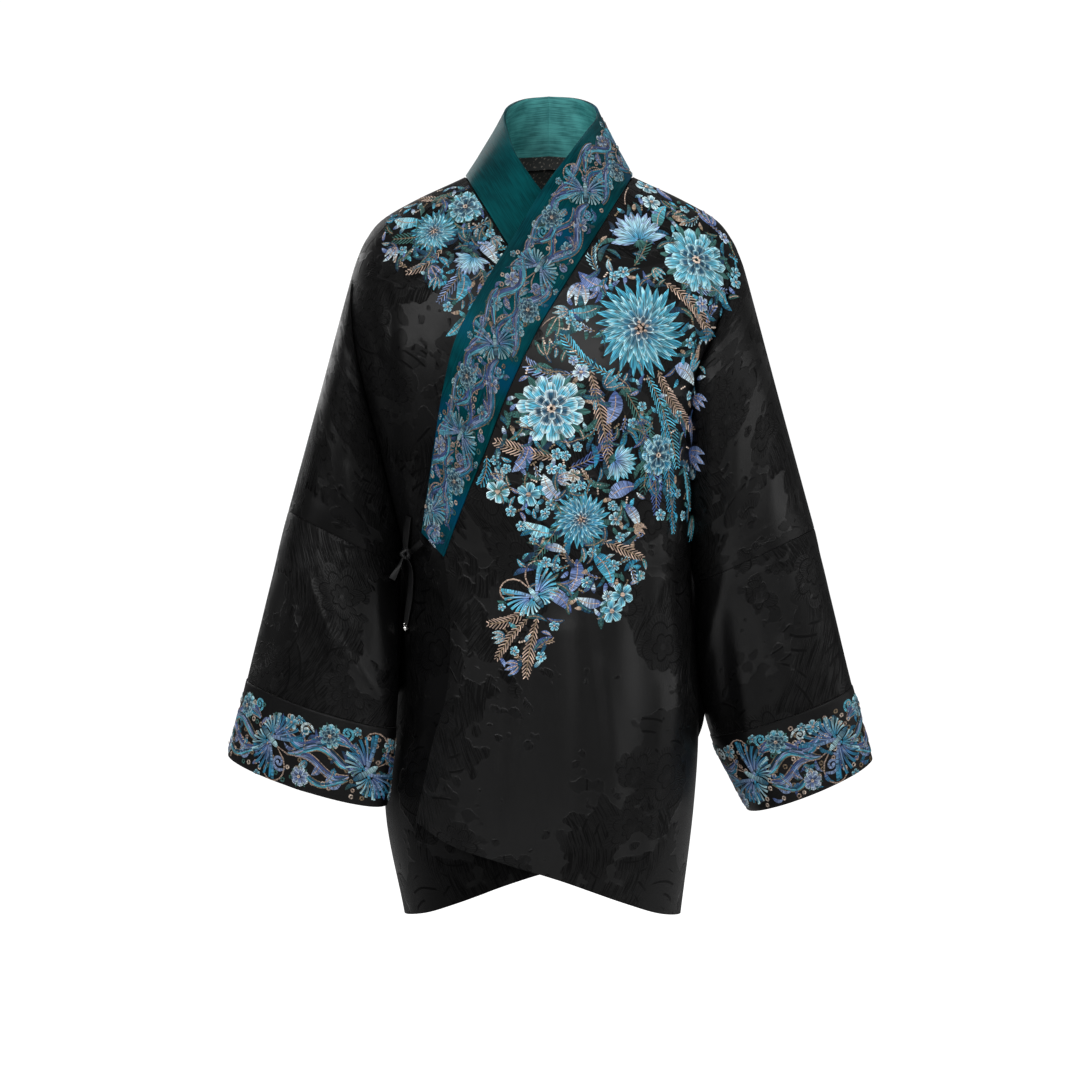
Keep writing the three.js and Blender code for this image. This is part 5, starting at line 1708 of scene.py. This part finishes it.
def collar_border(n, g):
    end = g.length - 5
    scatter(n, g, (5, 62), (4, end), 240, 5.2)
    strew(n, g, (7, 61), (4, end), 150, (4, 7), 1.8)
    place, side = 6.0, 1
    while place < end - 30:
        collar_repeat(n, g, place, end, side)
        place += REPEAT
        side = -side
    camellia(n, g, (40, end - 24), 12, 0.3, (8, 7, 5), ("deep", "mid", "pale"))
    blossom(n, g, (20, end - 12), 8, 0.5, ("violet", "lavender", "ice"))
    curl(n, g, (48, end - 8), 5, 2.6, 1, "lavender", 1.15)
    leaf(n, g, (30, end - 30), (22, end - 46), 3.6, "mid", "pale")


needle = Needle(0.66)
collar_border(needle, CollarGround("left"))
collar_embroidery = needle.sew("embroidery_collar", "teal_silk")

# %% [markdown]
# ## The cuff borders
# A cuff's border goes all round in four repeats and leaves a plain strip at the seam. The two cuffs differ in
# where their first repeat starts, as bands cut from one length of embroidery do.

# %% The cuff borders
CUFF_REPEATS = 4
CUFF_WAVES = [  # half width, sway, floss
    (5.0, 9, ("violet", "lavender", "mid")), (3.8, -8, ("deep", "lavender", "turquoise")),
    (3.0, 7, ("violet", "lavender")), (2.4, -6, ("teal", "turquoise")),
]


def cuff_waves(n, g, start, each, high, low):
    for j, (width, sway, floss) in enumerate(CUFF_WAVES):
        u = np.linspace(start + each * 0.4, start + each * (1.1 - 0.08 * j), 30)
        phase = (u - start) / each * 2 * math.pi * (1.4 + 0.1 * j) + 1.3 * j
        v = (low + high) / 2 + (j - 1.3) * 12 + sway * np.sin(phase)
        line = np.stack([u, np.clip(v, high + 4, low - 4)], -1)
        wave(n, g, line, width, floss, "gold" if j % 2 else "beige")


def cuff_repeat(n, g, k, start, each, high, low):
    middle, up = (low + high) / 2, (-1) ** k
    cuff_waves(n, g, start, each, high, low)
    floss = "violet", "lavender", "mid"
    butterfly(n, g, (start + each * 0.24, middle + 4 * up), 38, 3.2 + 0.6 * up, floss)
    camellia(n, g, (start + each * 0.62, high + 9), 13, k, (8, 7, 5), ("teal", "turquoise", "pale"))
    camellia(n, g, (start + each * 0.86, low - 10), 10.5, k, (7, 5), ("violet", "lavender", "ice"))
    blossom(n, g, (start + each * 0.03, high + 7), 8, k)
    for share, v, radius, heading, hand, colour, half in (
        (0.46, low - 14, 7.5, 0.9, -1, "lavender", 1.6), (0.02, low - 12, 8, 0.4, -1, "lavender", 1.6),
        (0.78, high + 10, 7.5, -0.9, 1, "ice", 1.5), (0.44, high + 10, 6.5, -2.2, 1, "turquoise", 1.4),
    ):
        curl(n, g, (start + each * share, v), radius, heading, hand, colour, half)
    for m in range(3):
        root = np.array([start + each * (0.54 + 0.14 * m), middle + 6])
        leaf(n, g, root, root + [8, 17 - 4 * m], 4, *LEAF_PAIRS[1 - m % 2])


def cuff_border(n, g, shift):
    high, low = 13.0, g.height - 4
    scatter(n, g, (0, g.around), (high, low), 230, 6)
    strew(n, g, (0, g.around), (high + 3, low - 3), 110, (5, 8), 2.1)
    each = g.around / CUFF_REPEATS
    for k in range(CUFF_REPEATS):
        cuff_repeat(n, g, k, k * each + shift, each, high, low)


cuff_embroidery = {}
for hand, shift in (("right", 2), ("left", 40)):
    needle = Needle(0.84)
    cuff_border(needle, CuffGround(hand), shift)
    cuff_embroidery[hand] = needle.sew("embroidery_" + hand + "_cuff", "cuff_silk")

# %% [markdown]
# ## The ribbon tie
# The fronts are held by two narrow satin ribbons, one from the right front and one from the end of the collar
# band, knotted under the right arm. One end hangs long and carries a silver bead. Each ribbon is a strip that
# tapers towards the knot and turns a little as it falls.

# %% Ribbons
def way_out(layer, x, z):
    y = lambda dx, dz: on_cloth(layer, x + dx, z + dz)[..., 1]
    out = np.array([(y(1, 0) - y(-1, 0)) / 2, -1, (y(0, 1) - y(0, -1)) / 2])
    return out / np.linalg.norm(out)


def off_cloth(x, z, off, layer="under"):
    return on_cloth(layer, x, z) + way_out(layer, x, z) * off


def smooth_path(stops, count):
    """Points on a smooth curve through stops."""
    stops = np.array(stops, float)
    keys = np.concatenate([[0], np.cumsum(np.linalg.norm(np.diff(stops, axis=0), axis=1))])
    at = np.linspace(0, keys[-1], count)
    return np.stack([curve(*zip(keys, stops[:, k]))(at) for k in range(3)], -1)


RIBBON_STEPS, RIBBON_WALL, RIBBON_CROWN = 26, 0.7, 0.35


def ribbon(name, node, stops, widths, facing, twist):
    """A strip along its stops; its face turns by twist, in radians, from the first stop to the last."""
    path = smooth_path(stops, RIBBON_STEPS)
    way = np.gradient(path, axis=0)
    way /= np.linalg.norm(way, axis=1, keepdims=True)
    aside = np.cross(way, facing)
    aside /= np.linalg.norm(aside, axis=1, keepdims=True)
    out = np.cross(aside, way)
    s = np.linspace(0, 1, RIBBON_STEPS)[:, None]
    turned = aside * np.cos(twist * s) + out * np.sin(twist * s)
    half = np.interp(s[:, 0], np.linspace(0, 1, len(widths)), widths)[:, None] / 2
    across = np.linspace(-1, 1, 7)
    points = path[:, None] + turned[:, None] * (half * across)[..., None]
    points = points + out[:, None] * (RIBBON_CROWN * (1 - across**2))[None, :, None]
    sheet = lay_grid(points, lengths(points, 1), lengths(points, 0))
    piece = finish_cloth(name, [sheet], RIBBON_WALL, False, [RIBBON_SILK], 0.15)
    wear(piece, "ribbon_silk", node)
    cut_areas[name] = outer_area([points])


KNOT_X, KNOT_Z = -143, -384
facing = way_out("under", KNOT_X, KNOT_Z)
centre = off_cloth(KNOT_X, KNOT_Z, 7.5)
tip = off_cloth(-145.5, -461, 4)
end_x, end_z = COLLAR["left"][2](END_ROW), COLLAR["left"][4](END_ROW)
corner = off_cloth(end_x + 3, end_z - 9, 3.5, "outer")
TIES = [  # piece, node, stops, widths at even places along it, twist
    ("ribbon_from_front", "tie_ribbon_front",
     [off_cloth(-144, -348, 1.6), off_cloth(-144.5, -364, 4.2), centre + [-0.5, 0, 4]],
     (9, 9.5, 6), 0.3),
    ("ribbon_from_collar", "tie_ribbon_collar",
     [corner, mix(corner, centre, 0.55) + [0, -2.5, -1.5], centre + [4, -1, 1]],
     (6.5, 6, 4.5), 0.3),
    ("ribbon_long_end", "tie_end_long",
     [centre + [0.5, -1, -3], off_cloth(-139.5, -402, 5), off_cloth(-140.5, -430, 4.6), tip],
     (5.5, 8.6, 7.6, 5), 0.5),
    ("ribbon_short_end", "tie_end_short",
     [centre + [-3, 0, -3], centre + [-7, -1, -13], centre + [-14, -0.5, -26]],
     (3.5, 5.6, 7.4), 0.5),
]
for name, node, stops, widths, twist in TIES:
    ribbon(name, node, stops, widths, facing, twist)

# %% [markdown]
# ## The knot and the bead
# The knot is pulled tight, so it reads as a small plump ring of ribbon: a torus turned to face forwards and
# pressed out of round. The bead is a sphere on a jump ring, smooth all over, so primitives of a fine mesh
# serve well once they are joined.

# %% The knot and the bead
bpy.ops.mesh.primitive_torus_add(
    major_segments=30, minor_segments=12, major_radius=3.7 * MM, minor_radius=2.6 * MM
)
knot_piece = bpy.context.object
knot_piece.name = "ribbon_knot"
mesh = knot_piece.data
co = np.zeros(len(mesh.vertices) * 3)
mesh.vertices.foreach_get("co", co)
co = co.reshape(-1, 3) * [1.0, 1.0, 0.95]
turn = np.arctan2(co[:, 1], co[:, 0])
co = np.stack([co[:, 0], co[:, 2] * 0.85, co[:, 1] * 0.95 + 0.0011 * np.sin(2 * turn)], -1)
mesh.vertices.foreach_set("co", (co + centre * MM).astype(np.float32).ravel())
mesh.uv_layers.active.name = "cloth"
mesh.materials.append(RIBBON_SILK)
knot_piece.location = (0, 0, 0)
select_only(knot_piece)
bpy.ops.object.mode_set(mode="EDIT")
bpy.ops.mesh.select_all(action="SELECT")
bpy.ops.mesh.normals_make_consistent(inside=False)
bpy.ops.object.mode_set(mode="OBJECT")
bpy.ops.object.shade_smooth()
wear(knot_piece, "ribbon_silk", "tie_knot")


BEAD_RADIUS, BEAD_DROP, LOOP_RISE = 0.0032, 3.7, 0.0042


def silver_finish():
    material, shader, w = new_material("silver", Metallic=1.0)
    place = w.tree.nodes.new("ShaderNodeTexCoord").outputs["Object"]
    worn = w.texture("Noise", "Fac", place, Scale=900.0, Detail=3.0)
    w.put(shader.inputs["Base Color"], w.colours(worn, (0.75, 0.74, 0.71, 1), (0.9, 0.89, 0.87, 1)))
    w.put(shader.inputs["Roughness"], w.math("MULTIPLY_ADD", worn, 0.25, 0.08))
    w.put(shader.inputs["Normal"], w.bump(worn, 0.15, 0.0001))
    return material


SILVER = silver_finish()
bead_at = (tip + [0, 0, -BEAD_DROP]) * MM
bpy.ops.mesh.primitive_uv_sphere_add(segments=28, ring_count=16, radius=BEAD_RADIUS, location=bead_at)
bead = bpy.context.object
bpy.ops.mesh.primitive_torus_add(
    major_segments=24, minor_segments=8, major_radius=0.0016, minor_radius=0.0005,
    location=bead_at + np.array([0, 0, LOOP_RISE]), rotation=(math.pi / 2, 0, 0.4),
)
select_only(bead, bpy.context.object)
bpy.ops.object.join()
bead.name = "silver_bead"
bpy.ops.object.transform_apply(location=True, rotation=True, scale=True)
bead.data.materials.clear()
bead.data.materials.append(SILVER)
bpy.ops.object.shade_smooth()
wear(bead, "silver", "tie_bead")
print("tie pieces:", [tie[0] for tie in TIES], knot_piece.name, bead.name)

# %% [markdown]
# ## Floor and light
# The jacket hangs above a wide sweep of pale paper in a white studio. Black silk shows mostly what it
# reflects, so the lights are wide: a key from the upper left, two weak ones from the right, one in front, one
# above and one behind. Paper and sky are bright mostly to the camera, so they don't wash out the black.

# %% Floor and studio
FLOOR_Z, FLOOR_SIZE = -1.15, 40
bpy.ops.mesh.primitive_plane_add(size=1, location=(0, 0, FLOOR_Z))
floor = bpy.context.object
floor.name = "paper_sweep"
floor.scale = (FLOOR_SIZE, FLOOR_SIZE, 1)
bpy.ops.object.transform_apply(location=True, rotation=True, scale=True)
paper, shader, w = new_material("pale_paper", Roughness=0.9, Emission_Color=(1, 1, 1, 1))
seen = w.tree.nodes.new("ShaderNodeLightPath").outputs["Is Camera Ray"]
w.put(shader.inputs["Emission Strength"], seen)
grain = w.texture("Noise", "Fac", None, Scale=60.0, Detail=3.0)
w.put(shader.inputs["Base Color"], w.colours(grain, (0.86, 0.86, 0.86, 1), (0.9, 0.9, 0.9, 1)))
floor.data.materials.append(paper)
SKY_SEEN, SKY_LIGHT = 0.9, 0.16  # what only the camera sees of the sky, and what also lights the cloth
world = bpy.data.worlds.new("studio")
bpy.context.scene.world = world
world.use_nodes = True
w = Wiring(world.node_tree)
seen = world.node_tree.nodes.new("ShaderNodeLightPath").outputs["Is Camera Ray"]
background = world.node_tree.nodes["Background"]
background.inputs["Color"].default_value = (1, 1, 1, 1)
w.put(background.inputs["Strength"], w.math("MULTIPLY_ADD", seen, SKY_SEEN, SKY_LIGHT))


def softbox(name, place, target, size, power):
    """A rectangular lamp that points from its place to its target."""
    bpy.ops.object.light_add(type="AREA", location=place)
    light = bpy.context.object
    light.name = name
    light.data.shape = "RECTANGLE"
    light.data.size, light.data.size_y = size
    light.data.energy = power
    way = np.array(place) - np.array(target)
    tilt = math.atan2(math.hypot(way[0], way[1]), way[2])
    light.rotation_euler = (tilt, 0, math.atan2(way[0], -way[1]))


LAMPS = [  # name, place, target, width and height, watts
    ("key_left", (-1.7, -1.9, 1.2), (0, 0, -0.3), (1.2, 1.6), 32),
    ("fill_right", (2.2, -1.1, 0.1), (0, 0, -0.4), (0.8, 1.8), 7),
    ("side_right", (2.4, -0.5, 0.1), (0, 0, -0.4), (0.5, 1.4), 6),
    ("front", (0.25, -2.9, 0.9), (0, 0, -0.5), (0.5, 0.9), 22),
    ("top", (0, 0.2, 1.9), (0, 0, -0.3), (1.6, 1.2), 18),
    ("back_left", (-1.6, 2.0, 0.8), (0, 0, -0.3), (1.0, 1.6), 16),
]
for lamp in LAMPS:
    softbox(*lamp)
print("lamps:", len(LAMPS))

# %% [markdown]
# ## The camera
# It looks level at the middle of the jacket. The lens is worked out from its distance and from the width that
# the frame takes in where the jacket hangs.

# %% The camera
DISTANCE, FRAME_WIDTH, SENSOR = 3.1, 1.134, 36
MIDDLE_X, MIDDLE_Z = -0.00945, -0.37275
bpy.ops.object.camera_add(location=(MIDDLE_X, -DISTANCE, MIDDLE_Z), rotation=(math.pi / 2, 0, 0))
camera = bpy.context.object
camera.data.sensor_width = SENSOR
camera.data.lens = SENSOR * DISTANCE / FRAME_WIDTH
bpy.context.scene.camera = camera
bpy.context.scene.view_settings.view_transform = "Standard"
print("lens:", round(camera.data.lens, 1), "mm")

# %% [markdown]
# ## The cut of each cloth
# Every piece of cloth states the flat size it was cut to, before it was sewn and worn. The areas were
# measured above on the outer faces, and each flat size is the rectangle that the cut comes out of.

# %% Flat sizes
CUTS = {  # width and length of the cloth in metres, and what is sewn on it
    "front_outer": (0.62, 0.86, [chest_embroidery]), "front_under": (0.62, 0.86, [shoulder_embroidery]),
    "back_panel": (0.86, 0.86, []),
    "left_sleeve_end": (0.44, 0.2, []), "right_sleeve_end": (0.44, 0.2, []),
    "left_cuff_band": (0.42, 0.1, [cuff_embroidery["left"]]),
    "right_cuff_band": (0.42, 0.1, [cuff_embroidery["right"]]),
    "left_collar_band": (0.09, 0.56, [collar_embroidery]), "right_collar_band": (0.09, 0.56, []),
    "neck_seam_tape": (0.03, 0.26, []), "right_underarm_allowance": (0.05, 0.17, []),
    "left_underarm_allowance": (0.05, 0.18, []), "right_arm_allowance": (0.018, 0.45, []),
    "left_arm_allowance": (0.018, 0.47, []), "right_side_allowance": (0.018, 0.39, []),
    "left_side_allowance": (0.018, 0.37, []), "ribbon_from_front": (0.012, 0.05, [knot_piece]),
    "ribbon_from_collar": (0.012, 0.05, []), "ribbon_long_end": (0.012, 0.085, [bead]),
    "ribbon_short_end": (0.0105, 0.04, []),
}
for name, (width, length, sewn) in CUTS.items():
    print(name, "cut area", round(cut_areas[name], 4), "of", round(width * length, 4))
    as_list(sewn)
